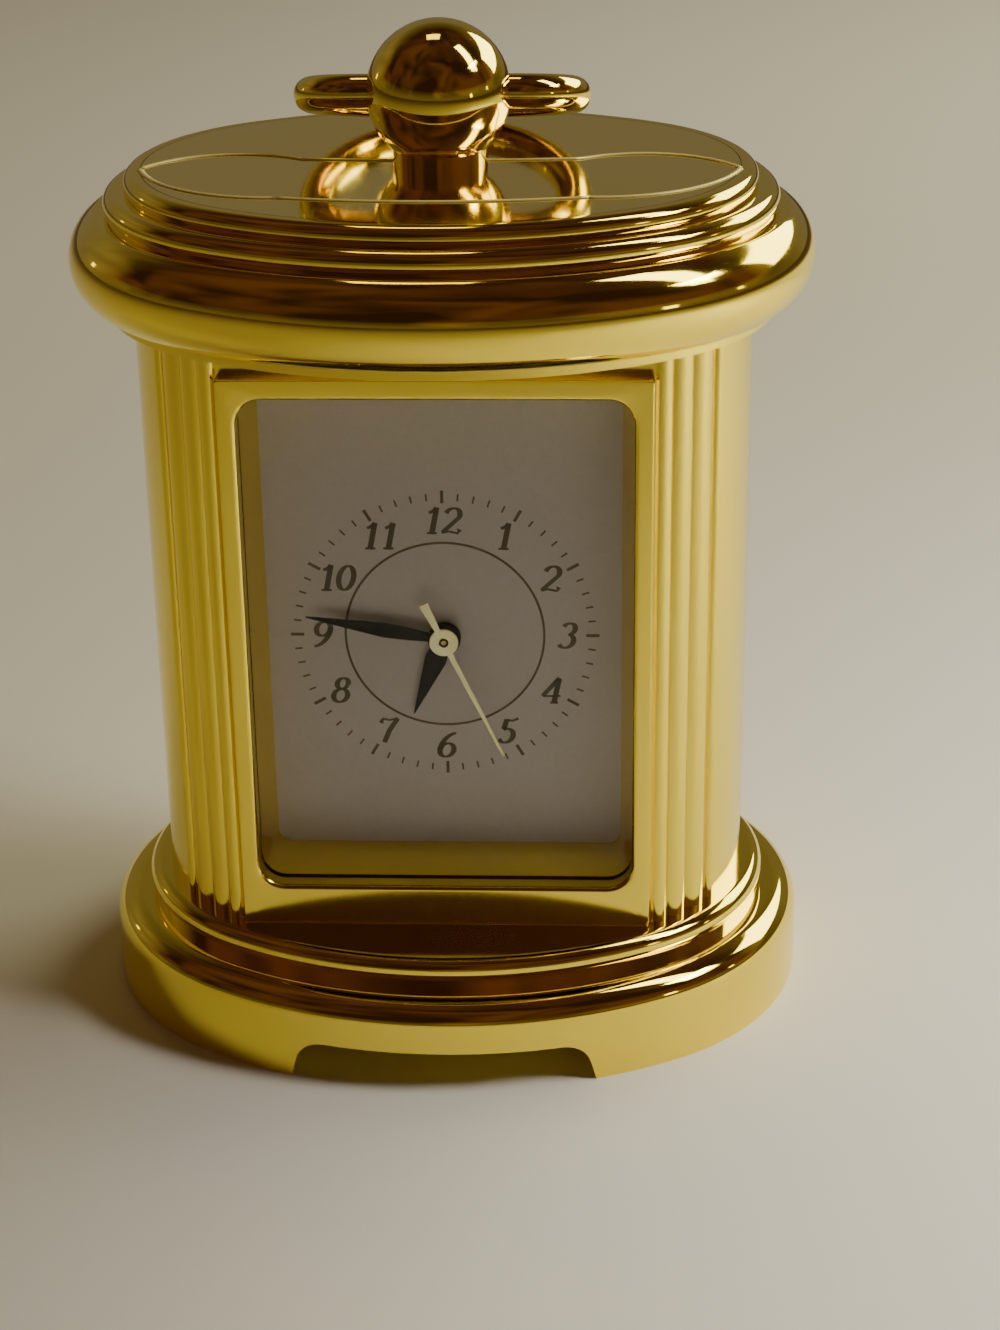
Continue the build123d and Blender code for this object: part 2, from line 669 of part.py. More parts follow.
def finial_nut():
    top = CAP_TOP - CAP_DECK - WASHER_THICKNESS
    solid = extrude(Pos(0, 0, top - NUT_HEIGHT) * RegularPolygon(NUT_RADIUS, 6), NUT_HEIGHT)
    bore = STUD_RADIUS + SCREW_CLEARANCE
    return solid - upright(0, 0, bore, top - NUT_HEIGHT - OVERRUN, top + OVERRUN)


def tie_screws():
    screws = []
    for side in (-1, 1):
        x = side * TIE_X
        screw = upright(x, 0, TIE_HEAD_RADIUS, FOOT_HEIGHT - TIE_HEAD_HEIGHT, FOOT_HEIGHT)
        screw += upright(x, 0, TIE_RADIUS, FOOT_HEIGHT, CASE_TOP + TIE_GRIP)
        slot = Rectangle(TIE_SLOT_WIDTH, 2 * TIE_HEAD_RADIUS + OVERRUN)
        low = FOOT_HEIGHT - TIE_HEAD_HEIGHT
        screw -= extrude(Pos(x, 0, low - OVERRUN) * slot, OVERRUN + TIE_SLOT_DEPTH)
        screws.append(screw)
    return Compound(screws)


# Movement holder


def movement_outline(growth):
    """Outline of the movement, grown by a clearance."""
    size_x = 2 * (MOVEMENT_HALF_X + growth)
    size_z = 2 * (MOVEMENT_HALF_Z + growth)
    return Pos(0, DIAL_CENTRE_Z) * RectangleRounded(size_x, size_z, MOVEMENT_CORNER + growth)


def movement_holder():
    solid = slab(frame_outline(), DIAL_BACK, HOLDER_BACK)
    for x, z in holder_screw_places():
        inner = x - (EAR_X - DIAL_HALF + EAR_RADIUS) * (1 if x > 0 else -1)
        ear = Pos(x, z) * Circle(EAR_RADIUS)
        ear += Pos((x + inner) / 2, z) * Rectangle(abs(x - inner), 2 * EAR_RADIUS)
        solid += slab(ear, DIAL_BACK, DIAL_BACK + EAR_THICKNESS)
    for x, z in holder_screw_places():
        bore = HOLDER_SCREW_RADIUS + FIT_CLEARANCE
        solid -= rod(x, z, bore, DIAL_BACK - OVERRUN, HOLDER_BACK + OVERRUN)
    pocket = movement_outline(FIT_CLEARANCE)
    channel = Pos(CHANNEL_END / 2, DIAL_CENTRE_Z) * Rectangle(CHANNEL_END, 2 * CHANNEL_HALF)
    solid -= slab(pocket + channel, DIAL_BACK - OVERRUN, HOLDER_BACK + OVERRUN)
    for x, z in clamp_screw_places():
        bore = SMALL_SCREW_RADIUS + SCREW_CLEARANCE
        solid -= rod(x, z, bore, HOLDER_BACK - SMALL_SCREW_GRIP, HOLDER_BACK + OVERRUN)
    return solid


def screw(x, z, seat, head_radius, head_height, radius, grip):
    """Slotless small screw driven from the back; its head seats at the given level."""
    solid = rod(x, z, head_radius, seat, seat + head_height)
    return solid + rod(x, z, radius, seat - grip, seat)


def holder_screws():
    seat = DIAL_BACK + EAR_THICKNESS
    grip = EAR_THICKNESS + HOLDER_SCREW_GRIP - SCREW_CLEARANCE
    return Compound(
        [
            screw(x, z, seat, HOLDER_SCREW_HEAD, HOLDER_SCREW_HEAD_HEIGHT, HOLDER_SCREW_RADIUS, grip)
            for x, z in holder_screw_places()
        ]
    )


def clamp_screw_places():
    """Middles of the movement clamps' screws, above and below the movement."""
    rise = MOVEMENT_HALF_Z + FIT_CLEARANCE + CLAMP_WIDTH / 2
    return [(-CLAMP_X, DIAL_CENTRE_Z - rise), (CLAMP_X, DIAL_CENTRE_Z + rise)]


def movement_clamps():
    clamps = []
    for x, z in clamp_screw_places():
        toward = 1 if z < DIAL_CENTRE_Z else -1
        middle = z + toward * CLAMP_OVERLAP / 2
        plate = Pos(x, middle) * Rectangle(CLAMP_WIDTH, CLAMP_WIDTH + CLAMP_OVERLAP)
        plate -= Pos(x, z) * Circle(SMALL_SCREW_RADIUS + FIT_CLEARANCE)
        clamps.append(slab(plate, HOLDER_BACK, HOLDER_BACK + CLAMP_THICKNESS))
    return Compound(clamps)


def clamp_screws():
    seat = HOLDER_BACK + CLAMP_THICKNESS
    grip = CLAMP_THICKNESS + SMALL_SCREW_GRIP - SCREW_CLEARANCE
    return Compound(
        [
            screw(x, z, seat, SMALL_HEAD_RADIUS, SMALL_HEAD_HEIGHT, SMALL_SCREW_RADIUS, grip)
            for x, z in clamp_screw_places()
        ]
    )


# Movement


def idler_place():
    """Axis of the minute wheel, in X and Z from the hands' axis."""
    return (
        GEAR_CENTRES * cos(radians(IDLER_AZIMUTH)),
        GEAR_CENTRES * sin(radians(IDLER_AZIMUTH)),
    )


def pitch_radius(own, mate):
    """Pitch radius of a wheel that meshes with its mate at the shared distance."""
    return GEAR_CENTRES * own / (own + mate)


def at_dial(x, z):
    """Place on the dial axis, as a location for sketches in X and Z."""
    return Pos(x, DIAL_CENTRE_Z + z)


def main_plate():
    solid = slab(movement_outline(0), DIAL_BACK, PLATE_BACK)
    ix, iz = idler_place()
    hour_radius = pitch_radius(HOUR_WHEEL_TEETH, MINUTE_PINION_TEETH)
    idler_radius = pitch_radius(MINUTE_WHEEL_TEETH, CANNON_TEETH)
    room = TOOTH_RISE + 2 * FIT_CLEARANCE
    recess = at_dial(0, 0) * Circle(hour_radius + room)
    recess += at_dial(ix, iz) * Circle(idler_radius + room)
    solid -= slab(recess, DIAL_BACK - OVERRUN, DIAL_BACK + MOTION_RECESS)
    solid += rod(ix, DIAL_CENTRE_Z + iz, IDLER_POST_RADIUS, DIAL_BACK, DIAL_BACK + MOTION_RECESS)
    bore = CANNON_RADIUS + RUNNING_CLEARANCE
    solid -= rod(0, DIAL_CENTRE_Z, bore, DIAL_BACK - OVERRUN, PLATE_BACK + OVERRUN)
    for side in (-1, 1):
        hole = DIAL_FOOT_RADIUS + SCREW_CLEARANCE
        depth = DIAL_BACK + DIAL_FOOT_LENGTH + FIT_CLEARANCE
        solid -= rod(side * DIAL_FOOT_X, DIAL_CENTRE_Z, hole, DIAL_BACK - OVERRUN, depth)
    pocket = at_dial(0, COIL_Z) * Rectangle(
        2 * (COIL_HALF + FIT_CLEARANCE), 2 * (COIL_RADIUS + FIT_CLEARANCE)
    )
    solid -= slab(pocket, STEM_Y - COIL_RADIUS - FIT_CLEARANCE, PLATE_BACK + OVERRUN)
    block_x = (BEARING_START + MOVEMENT_HALF_X) / 2
    bearing = at_dial(block_x, 0) * Rectangle(MOVEMENT_HALF_X - BEARING_START, 2 * BEARING_HALF)
    solid += slab(bearing, PLATE_BACK, PLATE_BACK + BEARING_HEIGHT)
    solid -= stem_bar(STEM_RADIUS + RUNNING_CLEARANCE, BEARING_START - OVERRUN, CROWN_START)
    for x, z in bridge_screw_places():
        post = rod(x, z, 2 * SMALL_SCREW_RADIUS, PLATE_BACK, BRIDGE_FRONT)
        solid += post & slab(movement_outline(0), DIAL_BACK, HOLDER_BACK)
        bore = SMALL_SCREW_RADIUS + SCREW_CLEARANCE
        solid -= rod(x, z, bore, BRIDGE_FRONT - SMALL_SCREW_GRIP, BRIDGE_FRONT + OVERRUN)
    return solid


def stem_bar(radius, start, end):
    """Round bar on the setting stem's axis."""
    plane = Plane(origin=(start, STEM_Y, DIAL_CENTRE_Z), z_dir=(1, 0, 0))
    return extrude(plane * Circle(radius), end - start)


def bridge_screw_places():
    """Middles of the train bridge's screws, in X and Z."""
    return [
        (MOVEMENT_HALF_X * sx, DIAL_CENTRE_Z + MOVEMENT_HALF_Z * sz)
        for sx, sz in BRIDGE_SCREW_PLACES_SHARES
    ]


def train_bridge():
    outline = movement_outline(0) - at_dial(CELL_X, CELL_Z) * Circle(CELL_RADIUS + BRIDGE_EDGE)
    outline -= at_dial(BEARING_START + OVERRUN, 0) * Rectangle(2 * OVERRUN, 2 * BEARING_HALF + OVERRUN)
    solid = slab(outline, BRIDGE_FRONT, HOLDER_BACK)
    solid = solid.solids().sort_by(SortBy.VOLUME)[-1]
    for x, z in bridge_screw_places():
        bore = SMALL_SCREW_RADIUS + FIT_CLEARANCE
        solid -= rod(x, z, bore, BRIDGE_FRONT - OVERRUN, HOLDER_BACK + OVERRUN)
        sink = SMALL_HEAD_RADIUS + FIT_CLEARANCE
        solid -= rod(x, z, sink, HOLDER_BACK - SMALL_HEAD_HEIGHT, HOLDER_BACK + OVERRUN)
    bore = ARBOR_RADIUS + RUNNING_CLEARANCE
    return solid - rod(0, DIAL_CENTRE_Z, bore, BRIDGE_FRONT - OVERRUN, HOLDER_BACK + OVERRUN)


def bridge_screws():
    seat = HOLDER_BACK - SMALL_HEAD_HEIGHT
    grip = BRIDGE_THICKNESS - SMALL_HEAD_HEIGHT + SMALL_SCREW_GRIP - SCREW_CLEARANCE
    return Compound(
        [
            screw(x, z, seat, SMALL_HEAD_RADIUS, SMALL_HEAD_HEIGHT, SMALL_SCREW_RADIUS, grip)
            for x, z in bridge_screw_places()
        ]
    )


def hour_wheel():
    teeth = gear_sketch(HOUR_WHEEL_TEETH, pitch_radius(HOUR_WHEEL_TEETH, MINUTE_PINION_TEETH))
    turned = at_dial(0, 0) * Rot(0, 0, IDLER_AZIMUTH) * teeth
    solid = slab(turned, HOUR_WHEEL_FRONT, HOUR_WHEEL_BACK)
    pipe_front = HOUR_HAND_BACK - HAND_THICKNESS
    solid += rod(0, DIAL_CENTRE_Z, HOUR_PIPE_RADIUS, pipe_front, HOUR_WHEEL_FRONT)
    return solid - rod(0, DIAL_CENTRE_Z, HOUR_PIPE_BORE, pipe_front - OVERRUN, DIAL_BACK + OVERRUN)


def cannon_pinion():
    teeth = gear_sketch(CANNON_TEETH, pitch_radius(CANNON_TEETH, MINUTE_WHEEL_TEETH))
    turned = at_dial(0, 0) * Rot(0, 0, IDLER_AZIMUTH) * teeth
    solid = slab(turned, CANNON_FRONT, CANNON_BACK)
    tube_front = MINUTE_HAND_BACK - HAND_THICKNESS
    solid += rod(0, DIAL_CENTRE_Z, CANNON_RADIUS, tube_front, PLATE_BACK)
    return solid - rod(0, DIAL_CENTRE_Z, CANNON_BORE, tube_front - OVERRUN, PLATE_BACK + OVERRUN)


def minute_wheel():
    ix, iz = idler_place()
    wheel = gear_sketch(MINUTE_WHEEL_TEETH, pitch_radius(MINUTE_WHEEL_TEETH, CANNON_TEETH))
    pinion = gear_sketch(MINUTE_PINION_TEETH, pitch_radius(MINUTE_PINION_TEETH, HOUR_WHEEL_TEETH))
    facing = IDLER_AZIMUTH + 180
    wheel_turn = facing + 180 / MINUTE_WHEEL_TEETH
    pinion_turn = facing + 180 / MINUTE_PINION_TEETH
    solid = slab(at_dial(ix, iz) * Rot(0, 0, wheel_turn) * wheel, CANNON_FRONT, CANNON_BACK)
    solid += slab(
        at_dial(ix, iz) * Rot(0, 0, pinion_turn) * pinion, HOUR_WHEEL_FRONT, CANNON_FRONT
    )
    bore = IDLER_POST_RADIUS + RUNNING_CLEARANCE
    return solid - rod(ix, DIAL_CENTRE_Z + iz, bore, DIAL_BACK - OVERRUN, PLATE_BACK)


def seconds_wheel():
    level = PLATE_BACK + LEVEL_GAP
    wheel = at_dial(0, 0) * gear_sketch(SECONDS_TEETH, SECONDS_WHEEL_RADIUS)
    solid = slab(wheel, level, level + SECONDS_WHEEL_THICKNESS)
    front = SECOND_HAND_BACK - HAND_THICKNESS
    return solid + rod(0, DIAL_CENTRE_Z, ARBOR_RADIUS, front, HOLDER_BACK - LEVEL_GAP)


def battery_cell():
    front = PLATE_BACK + LEVEL_GAP
    x, z = CELL_X, DIAL_CENTRE_Z + CELL_Z
    can = rod(x, z, CELL_RADIUS, front + CELL_CAP_HEIGHT, front + CELL_THICKNESS)
    can = chamfer(can.edges().filter_by(GeomType.CIRCLE).sort_by(Axis.Y)[-1], CELL_BEVEL)
    return can + rod(x, z, CELL_CAP_RADIUS, front, front + CELL_CAP_HEIGHT)


def battery_contact():
    """Leaf that bears on the cell's rim, on a foot on the main plate."""
    inner = CELL_RADIUS + FIT_CLEARANCE
    outer = inner + CONTACT_THICKNESS
    centre = at_dial(CELL_X, CELL_Z)
    ring = Circle(outer) - Circle(inner)
    start = CONTACT_AZIMUTH - CONTACT_SPAN / 2
    reach = 2 * outer
    points = [(0, 0)]
    for angle in (start, start + CONTACT_SPAN):
        points.append((reach * cos(radians(angle)), reach * sin(radians(angle))))
    leaf = centre * (ring & make_face(Polyline(points, close=True)))
    leaf = leaf & movement_outline(0)
    return slab(leaf, PLATE_BACK, PLATE_BACK + CONTACT_HEIGHT)


def coil_core():
    """Soft-iron strip that the coil is wound on, with its two feet on the main plate."""
    middle = STEM_Y
    strip = slab(
        at_dial(0, COIL_Z) * Rectangle(2 * CORE_HALF, CORE_HEIGHT),
        middle - CORE_THICKNESS / 2,
        middle + CORE_THICKNESS / 2,
    )
    foot = Rectangle(CORE_HALF - COIL_HALF - FIT_CLEARANCE, CORE_HEIGHT)
    for side in (-1, 1):
        x = side * (CORE_HALF + COIL_HALF + FIT_CLEARANCE) / 2
        strip += slab(at_dial(x, COIL_Z) * foot, PLATE_BACK, middle)
    return strip


def coil():
    plane = Plane(origin=(-COIL_HALF, STEM_Y, DIAL_CENTRE_Z + COIL_Z), z_dir=(1, 0, 0))
    winding = extrude(plane * Circle(COIL_RADIUS), 2 * COIL_HALF)
    opening = slab(
        at_dial(0, COIL_Z) * Rectangle(2 * CORE_HALF, CORE_HEIGHT + FIT_CLEARANCE),
        STEM_Y - (CORE_THICKNESS + FIT_CLEARANCE) / 2,
        STEM_Y + (CORE_THICKNESS + FIT_CLEARANCE) / 2,
    )
    return winding - opening


# Keyless work


def setting_stem():
    solid = stem_bar(STEM_RADIUS, STEM_START, CROWN_START)
    groove = stem_bar(STEM_RADIUS + OVERRUN, STEM_GROOVE_X, STEM_GROOVE_X + STEM_GROOVE_WIDTH)
    groove -= stem_bar(STEM_GROOVE_RADIUS, STEM_GROOVE_X - OVERRUN, STEM_GROOVE_X + OVERRUN)
    return solid - groove


def crown():
    plane = Plane(origin=(CROWN_START, STEM_Y, DIAL_CENTRE_Z), z_dir=(1, 0, 0))
    outline = Circle(CROWN_RADIUS)
    for flute in range(CROWN_FLUTES):
        angle = radians(360 / CROWN_FLUTES * flute)
        spot = Pos(CROWN_RADIUS * cos(angle), CROWN_RADIUS * sin(angle))
        outline -= spot * Circle(CROWN_FLUTE_RADIUS)
    return extrude(plane * outline, CROWN_LENGTH)


def setting_lever():
    """Sliding lever whose nose sits in the stem's groove."""
    front = PLATE_BACK + SCREW_CLEARANCE
    middle = STEM_GROOVE_X + STEM_GROOVE_WIDTH / 2
    nose_top = -STEM_GROOVE_RADIUS - SCREW_CLEARANCE
    nose_width = STEM_GROOVE_WIDTH - 2 * SCREW_CLEARANCE
    nose = at_dial(middle, (nose_top - LEVER_TOP) / 2) * Rectangle(nose_width, LEVER_TOP + nose_top)
    body = at_dial(middle, -(LEVER_TOP + LEVER_BOTTOM) / 2) * Rectangle(
        LEVER_WIDTH, LEVER_BOTTOM - LEVER_TOP
    )
    return slab(nose + body, front, front + LEVER_THICKNESS)


# Hands


def leaf_hand(length, width, bore):
    """Leaf-shaped hand pointing at twelve, on a round hub."""
    half = width / 2
    widest = length * LEAF_WIDEST_SHARE
    right = ThreePointArc((0, 0), (half, widest), (0, length))
    left = ThreePointArc((0, length), (-half, widest), (0, 0))
    return make_face([right, left]) + Circle(HAND_HUB_RADIUS) - Circle(bore)



def place_hand(outline, angle, back):
    """Turn a hand clockwise from twelve and put it on the dial axis."""
    turned = at_dial(0, 0) * Rot(0, 0, -angle) * outline
    return slab(turned, back - HAND_THICKNESS, back)


def hour_hand():
    outline = leaf_hand(HOUR_HAND_LENGTH, HOUR_HAND_WIDTH, HOUR_PIPE_RADIUS)
    return place_hand(outline, HOUR_ANGLE, HOUR_HAND_BACK)


def minute_hand():
    outline = leaf_hand(MINUTE_HAND_LENGTH, MINUTE_HAND_WIDTH, CANNON_RADIUS)
    return place_hand(outline, MINUTE_ANGLE, MINUTE_HAND_BACK)


def second_hand():
    root, tip, tail = SECOND_HAND_ROOT / 2, SECOND_HAND_TIP / 2, SECOND_TAIL_WIDTH / 2
    needle = Polygon(
        (-root, 0), (root, 0), (tip, SECOND_HAND_LENGTH), (-tip, SECOND_HAND_LENGTH), align=None
    )
    paddle = Polygon(
        (-tail, -SECOND_HAND_TAIL), (tail, -SECOND_HAND_TAIL), (root, 0), (-root, 0), align=None
    )
    outline = needle + paddle + Circle(SECOND_HUB_RADIUS) - Circle(ARBOR_RADIUS)
    return place_hand(outline, SECOND_ANGLE, SECOND_HAND_BACK)


PIECES = {
    "plinth": plinth,
    "base_moulding": base_moulding,
    "case_body": case_body,
    "front_panel": front_panel,
    "crystal": crystal,
    "dial_frame": dial_frame,
    "dial": dial,
    "back_cover": back_cover,
    "cap_moulding": cap_moulding,
    "cornice": cornice,
    "top_plate": top_plate,
    "finial": finial,
    "bow": bow,
    "finial_washer": finial_washer,
    "finial_nut": finial_nut,
    "tie_screws": tie_screws,
    "movement_holder": movement_holder,
    "holder_screws": holder_screws,
    "movement_clamps": movement_clamps,
    "clamp_screws": clamp_screws,
    "main_plate": main_plate,
    "train_bridge": train_bridge,
    "bridge_screws": bridge_screws,
    "hour_wheel": hour_wheel,
    "cannon_pinion": cannon_pinion,
    "minute_wheel": minute_wheel,
    "seconds_wheel": seconds_wheel,
    "battery_cell": battery_cell,
    "battery_contact": battery_contact,
    "coil": coil,
    "coil_core": coil_core,
    "setting_stem": setting_stem,
    "crown": crown,
    "setting_lever": setting_lever,
    "hour_hand": hour_hand,
    "minute_hand": minute_hand,
    "second_hand": second_hand,
}

for name, make in PIECES.items():
    export_step(make(), f"parts/{name}.step")
    print(name, "written")
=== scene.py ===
import json
from math import acos, asin, atan2, cos, pi, radians, sin, sqrt

import bmesh
import bpy
from bpy.props import FloatProperty, FloatVectorProperty, IntProperty, PointerProperty
from mathutils import Matrix, Vector


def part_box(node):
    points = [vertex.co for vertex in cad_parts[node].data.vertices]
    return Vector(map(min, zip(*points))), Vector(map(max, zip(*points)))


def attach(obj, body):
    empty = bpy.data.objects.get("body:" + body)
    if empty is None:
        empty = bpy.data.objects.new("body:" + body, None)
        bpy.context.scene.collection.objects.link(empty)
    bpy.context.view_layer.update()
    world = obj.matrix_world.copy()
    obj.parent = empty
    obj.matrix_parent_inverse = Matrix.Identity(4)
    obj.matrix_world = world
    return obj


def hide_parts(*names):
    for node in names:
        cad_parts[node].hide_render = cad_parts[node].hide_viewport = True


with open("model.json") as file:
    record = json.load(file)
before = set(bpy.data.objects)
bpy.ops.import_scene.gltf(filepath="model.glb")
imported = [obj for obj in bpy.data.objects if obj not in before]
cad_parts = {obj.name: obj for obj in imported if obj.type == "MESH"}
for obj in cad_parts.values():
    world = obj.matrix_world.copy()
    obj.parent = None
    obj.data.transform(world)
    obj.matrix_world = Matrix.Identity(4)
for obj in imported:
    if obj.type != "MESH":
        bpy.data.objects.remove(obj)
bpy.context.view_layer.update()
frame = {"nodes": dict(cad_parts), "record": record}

bl_info = {
    "name": "Pendulette clock",
    "version": (1, 0, 0),
    "blender": (4, 5, 0),
    "location": "View3D > Sidebar > Clock",
    "description": "Smooth gilt pieces, dial print and finishes of a miniature clock",
    "category": "Object",
}

MM = 0.001
MERGE = 0.0001 * MM
OVERRUN = 1.0 * MM
CREASE = radians(28)
EDGE_SEGMENTS = 3
VERT, EDGE, FACE = bmesh.types.BMVert, bmesh.types.BMEdge, bmesh.types.BMFace
FRONTWARD = Vector((0, -1, 0))
UPWARD = Vector((0, 0, 1))
RIGHTWARD = Vector((1, 0, 0))


# Sizes and colours


def length(label, description, millimetres):
    """Length property, given in millimetres."""
    return FloatProperty(
        name=label, description=description, default=millimetres * MM, unit="LENGTH", precision=5
    )


def turn(label, description, degrees):
    """Angle property, given in degrees."""
    return FloatProperty(
        name=label, description=description, default=radians(degrees), subtype="ANGLE"
    )


def share(label, description, value):
    """Plain factor from nothing to one."""
    return FloatProperty(name=label, description=description, default=value, min=0, max=1)


def tint(label, description, value):
    """Colour property in linear light."""
    return FloatVectorProperty(
        name=label, description=description, default=value, size=3, subtype="COLOR", min=0, max=1
    )


def position(label, description, value):
    """Point in metres."""
    return FloatVectorProperty(name=label, description=description, default=value, unit="LENGTH")


class OvalSizes(bpy.types.PropertyGroup):
    """Four-centre oval of the case, which every moulding follows."""

    half_width: length("Half width", "Half of the oval's long side", 20.5)
    half_depth: length("Half depth", "Half of the oval's short side", 15.2)
    end_radius: length("End radius", "Radius of the two tight ends", 13.2)
    core: length("Core", "How far inside the oval a moulding's section starts", 3.0)
    end_steps: IntProperty(name="End steps", description="Facets along each end", default=48)
    side_steps: IntProperty(name="Side steps", description="Facets along each side", default=36)


class BaseSizes(bpy.types.PropertyGroup):
    """Plinth with feet, and the roll above it."""

    reach: length("Reach", "How far the plinth stands out from the case", 4.1)
    wall: length("Wall", "Height of the plinth's upright wall", 4.6)
    ovolo: length("Ovolo", "Radius of the plinth's rounded shoulder", 1.8)
    foot_height: length("Foot height", "Height of the two feet", 2.9)
    foot_rim: length("Foot rim", "Width of the foot ring", 2.6)
    notch_half: length("Notch", "Half width of the gap between the feet", 10.15)
    notch_slant: length("Notch slant", "Sideways lean of the notch's ends", 0.5)
    notch_corner: length("Notch corner", "Radius of the notch's upper corners", 2.0)
    ceiling_gap: length("Ceiling gap", "Step between notch and hollow underside", 0.1)
    roll_radius: length("Roll radius", "Radius of the roll that carries the case", 0.9)
    roll_reach: length("Roll reach", "How far the roll stands out from the case", 1.6)
    quirk_reach: length("Quirk reach", "Depth of the quirk under the roll", 1.35)


class CaseSizes(bpy.types.PropertyGroup):
    """Reeded tube, front panel and back cover."""

    wall: length("Wall", "Thickness of the tube", 1.4)
    end_wall: length("Seat wall", "Thickness of the flat walls behind the panels", 1.2)
    flat_depth: length("Flat depth", "Distance of the flat faces from the middle", 11.4)
    panel: length("Panel", "Thickness of front panel and back cover", 1.2)
    clearance: length("Clearance", "Gap around the two panels", 0.1)
    edge: length("Edge", "Softening of the panels' edges", 0.12)
    reed_depth: length("Reed depth", "Depth of the valleys between the reeds", 0.45)
    reed_span: turn("Reed span", "Angle of one corner's three reeds", 24)
    reed_steps: IntProperty(name="Reed steps", description="Facets across one reed", default=12)
    back_half: length("Back opening", "Half width of the opening in the back", 12.0)
    back_margin: length("Back margin", "Metal above and below the opening", 2.0)
    back_corner: length("Back corner", "Corner radius of the opening", 2.0)
    rim_width: length("Rim width", "Thickness of the cover's rim", 0.9)
    rim_depth: length("Rim depth", "How deep the cover's rim reaches", 2.0)
    scoop: length("Finger notch", "Radius of the cover's finger notch", 3.2)
    scoop_depth: length("Finger notch depth", "Depth of the finger notch", 0.6)


class WindowSizes(bpy.types.PropertyGroup):
    """Window, dial surround and dial."""

    half: length("Half width", "Half width of the window", 12.7)
    bottom: length("Bottom", "Height of the window's sill", 11.3)
    top: length("Top", "Height of the window's head", 46.4)
    corner: length("Corner", "Radius of the window's corners", 1.7)
    bevel: length("Bevel", "Rounding around the window", 0.34)
    margin: length("Margin", "Crystal hidden behind the panel", 0.55)
    pane: length("Pane", "Thickness of the crystal", 0.5)
    taper: length("Taper", "How far the surround narrows towards the dial", 0.75)
    dial_centre: length("Dial centre", "Height of the hands' axis", 27.9)


class PrintSizes(bpy.types.PropertyGroup):
    """What is printed on the dial."""

    thickness: length("Ink", "Thickness of the ink", 0.012)
    ring_radius: length("Ring radius", "Radius of the inner ring", 6.72)
    ring_width: length("Ring width", "Width of the inner ring", 0.16)
    numeral_radius: length("Numeral radius", "Distance of the numerals from the axis", 8.3)
    numeral_height: length("Numeral height", "Height of the numerals", 1.9)
    track_radius: length("Track radius", "Radius of the minute marks", 10.0)
    mark_length: length("Mark length", "Length of a minute mark", 0.5)
    mark_width: length("Mark width", "Width of a minute mark", 0.12)
    hour_mark_length: length("Hour mark length", "Length of a five-minute mark", 0.9)
    hour_mark_width: length("Hour mark width", "Width of a five-minute mark", 0.21)


class CapSizes(bpy.types.PropertyGroup):
    """Bullnose, its lip, the two rolls and the inset plate."""

    lip_reach: length("Lip reach", "How far the lip stands out", 1.6)
    lip_height: length("Lip height", "Height of the lip", 0.7)
    lip_quirk: length("Lip quirk", "Step above the lip", 0.2)
    nose_radius: length("Bullnose radius", "Radius of the bullnose", 3.2)
    nose_reach: length("Bullnose reach", "How far the bullnose stands out", 4.0)
    nose_height: length("Bullnose height", "Height of the bullnose's middle", 53.2)
    low_radius: length("Low roll radius", "Radius of the lower roll", 0.82)
    low_reach: length("Low roll reach", "How far the lower roll stands out", 1.56)
    low_height: length("Low roll height", "Height of the lower roll's middle", 56.76)
    high_radius: length("High roll radius", "Radius of the upper roll", 0.75)
    high_reach: length("High roll reach", "How far the upper roll stands out", 0.15)
    quirk: length("Quirk", "Step between roll and roll", 0.2)
    plate_inset: length("Plate inset", "How far inside the oval the plate's seat lies", 1.0)
    plate_gap: length("Plate gap", "Hairline around the plate", 0.05)
    relief_width: length("Relief width", "Width of the plate's raised lines", 0.5)
    relief_height: length("Relief height", "Height of the plate's raised lines", 0.12)


class FinialSizes(bpy.types.PropertyGroup):
    """Ball with its neck and the wire bow."""

    ball_radius: length("Ball radius", "Radius of the ball", 4.7)
    neck_radius: length("Neck radius", "Radius of the neck", 3.1)
    wire_radius: length("Wire radius", "Radius of the bow's wire", 1.18)
    bow_radius: length("Bow radius", "Radius of the bow's round", 8.6)
    bow_centre: length("Bow centre", "Distance of the round's middle from the pins", 3.8)
    bow_bend: length("Bow bend", "Radius of the two bends beside the ball", 3.5)
    pin_start: length("Pin start", "Where the pins begin inside the ball", 2.2)
    rest_gap: length("Rest gap", "Gap between the bow and the plate", 0.03)


class HandSizes(bpy.types.PropertyGroup):
    """The three hands, as the photograph shows them at rest."""

    thickness: length("Thickness", "Thickness of each hand", 0.15)
    edge: length("Edge", "Softening of the black hands' edges", 0.03)
    hub: length("Hub", "Radius of the black hands' hubs", 1.1)
    hour_length: length("Hour hand", "Length of the hour hand", 6.1)
    hour_width: length("Hour width", "Widest part of the hour hand", 1.45)
    hour_root: length("Hour root", "Width of the hour hand where it leaves its hub", 1.15)
    hour_widest: share("Hour widest", "Where along the hour hand it is widest", 0.18)
    hour_angle: turn("Hour angle", "Clockwise from twelve", 201)
    minute_length: length("Minute hand", "Length of the minute hand", 9.45)
    minute_width: length("Minute width", "Widest part of the minute hand", 1.05)
    minute_root: length("Minute root", "Width of the minute hand where it leaves its hub", 0.6)
    minute_widest: share("Minute widest", "Where along the minute hand it is widest", 0.37)
    minute_angle: turn("Minute angle", "Clockwise from twelve", 280)
    second_length: length("Second hand", "Length of the second hand", 9.3)
    second_tail: length("Second tail", "Length of the second hand's tail", 3.1)
    second_root: length("Second root", "Width of the second hand at its hub", 0.38)
    second_tip: length("Second tip", "Width of the second hand at its tip", 0.2)
    tail_width: length("Tail width", "Width of the second hand's tail", 0.66)
    eye: length("Eye", "Radius of the hole in the second hand's hub", 0.32)
    second_hub: length("Second hub", "Radius of the second hand's hub", 0.98)
    second_angle: turn("Second angle", "Clockwise from twelve", 155)


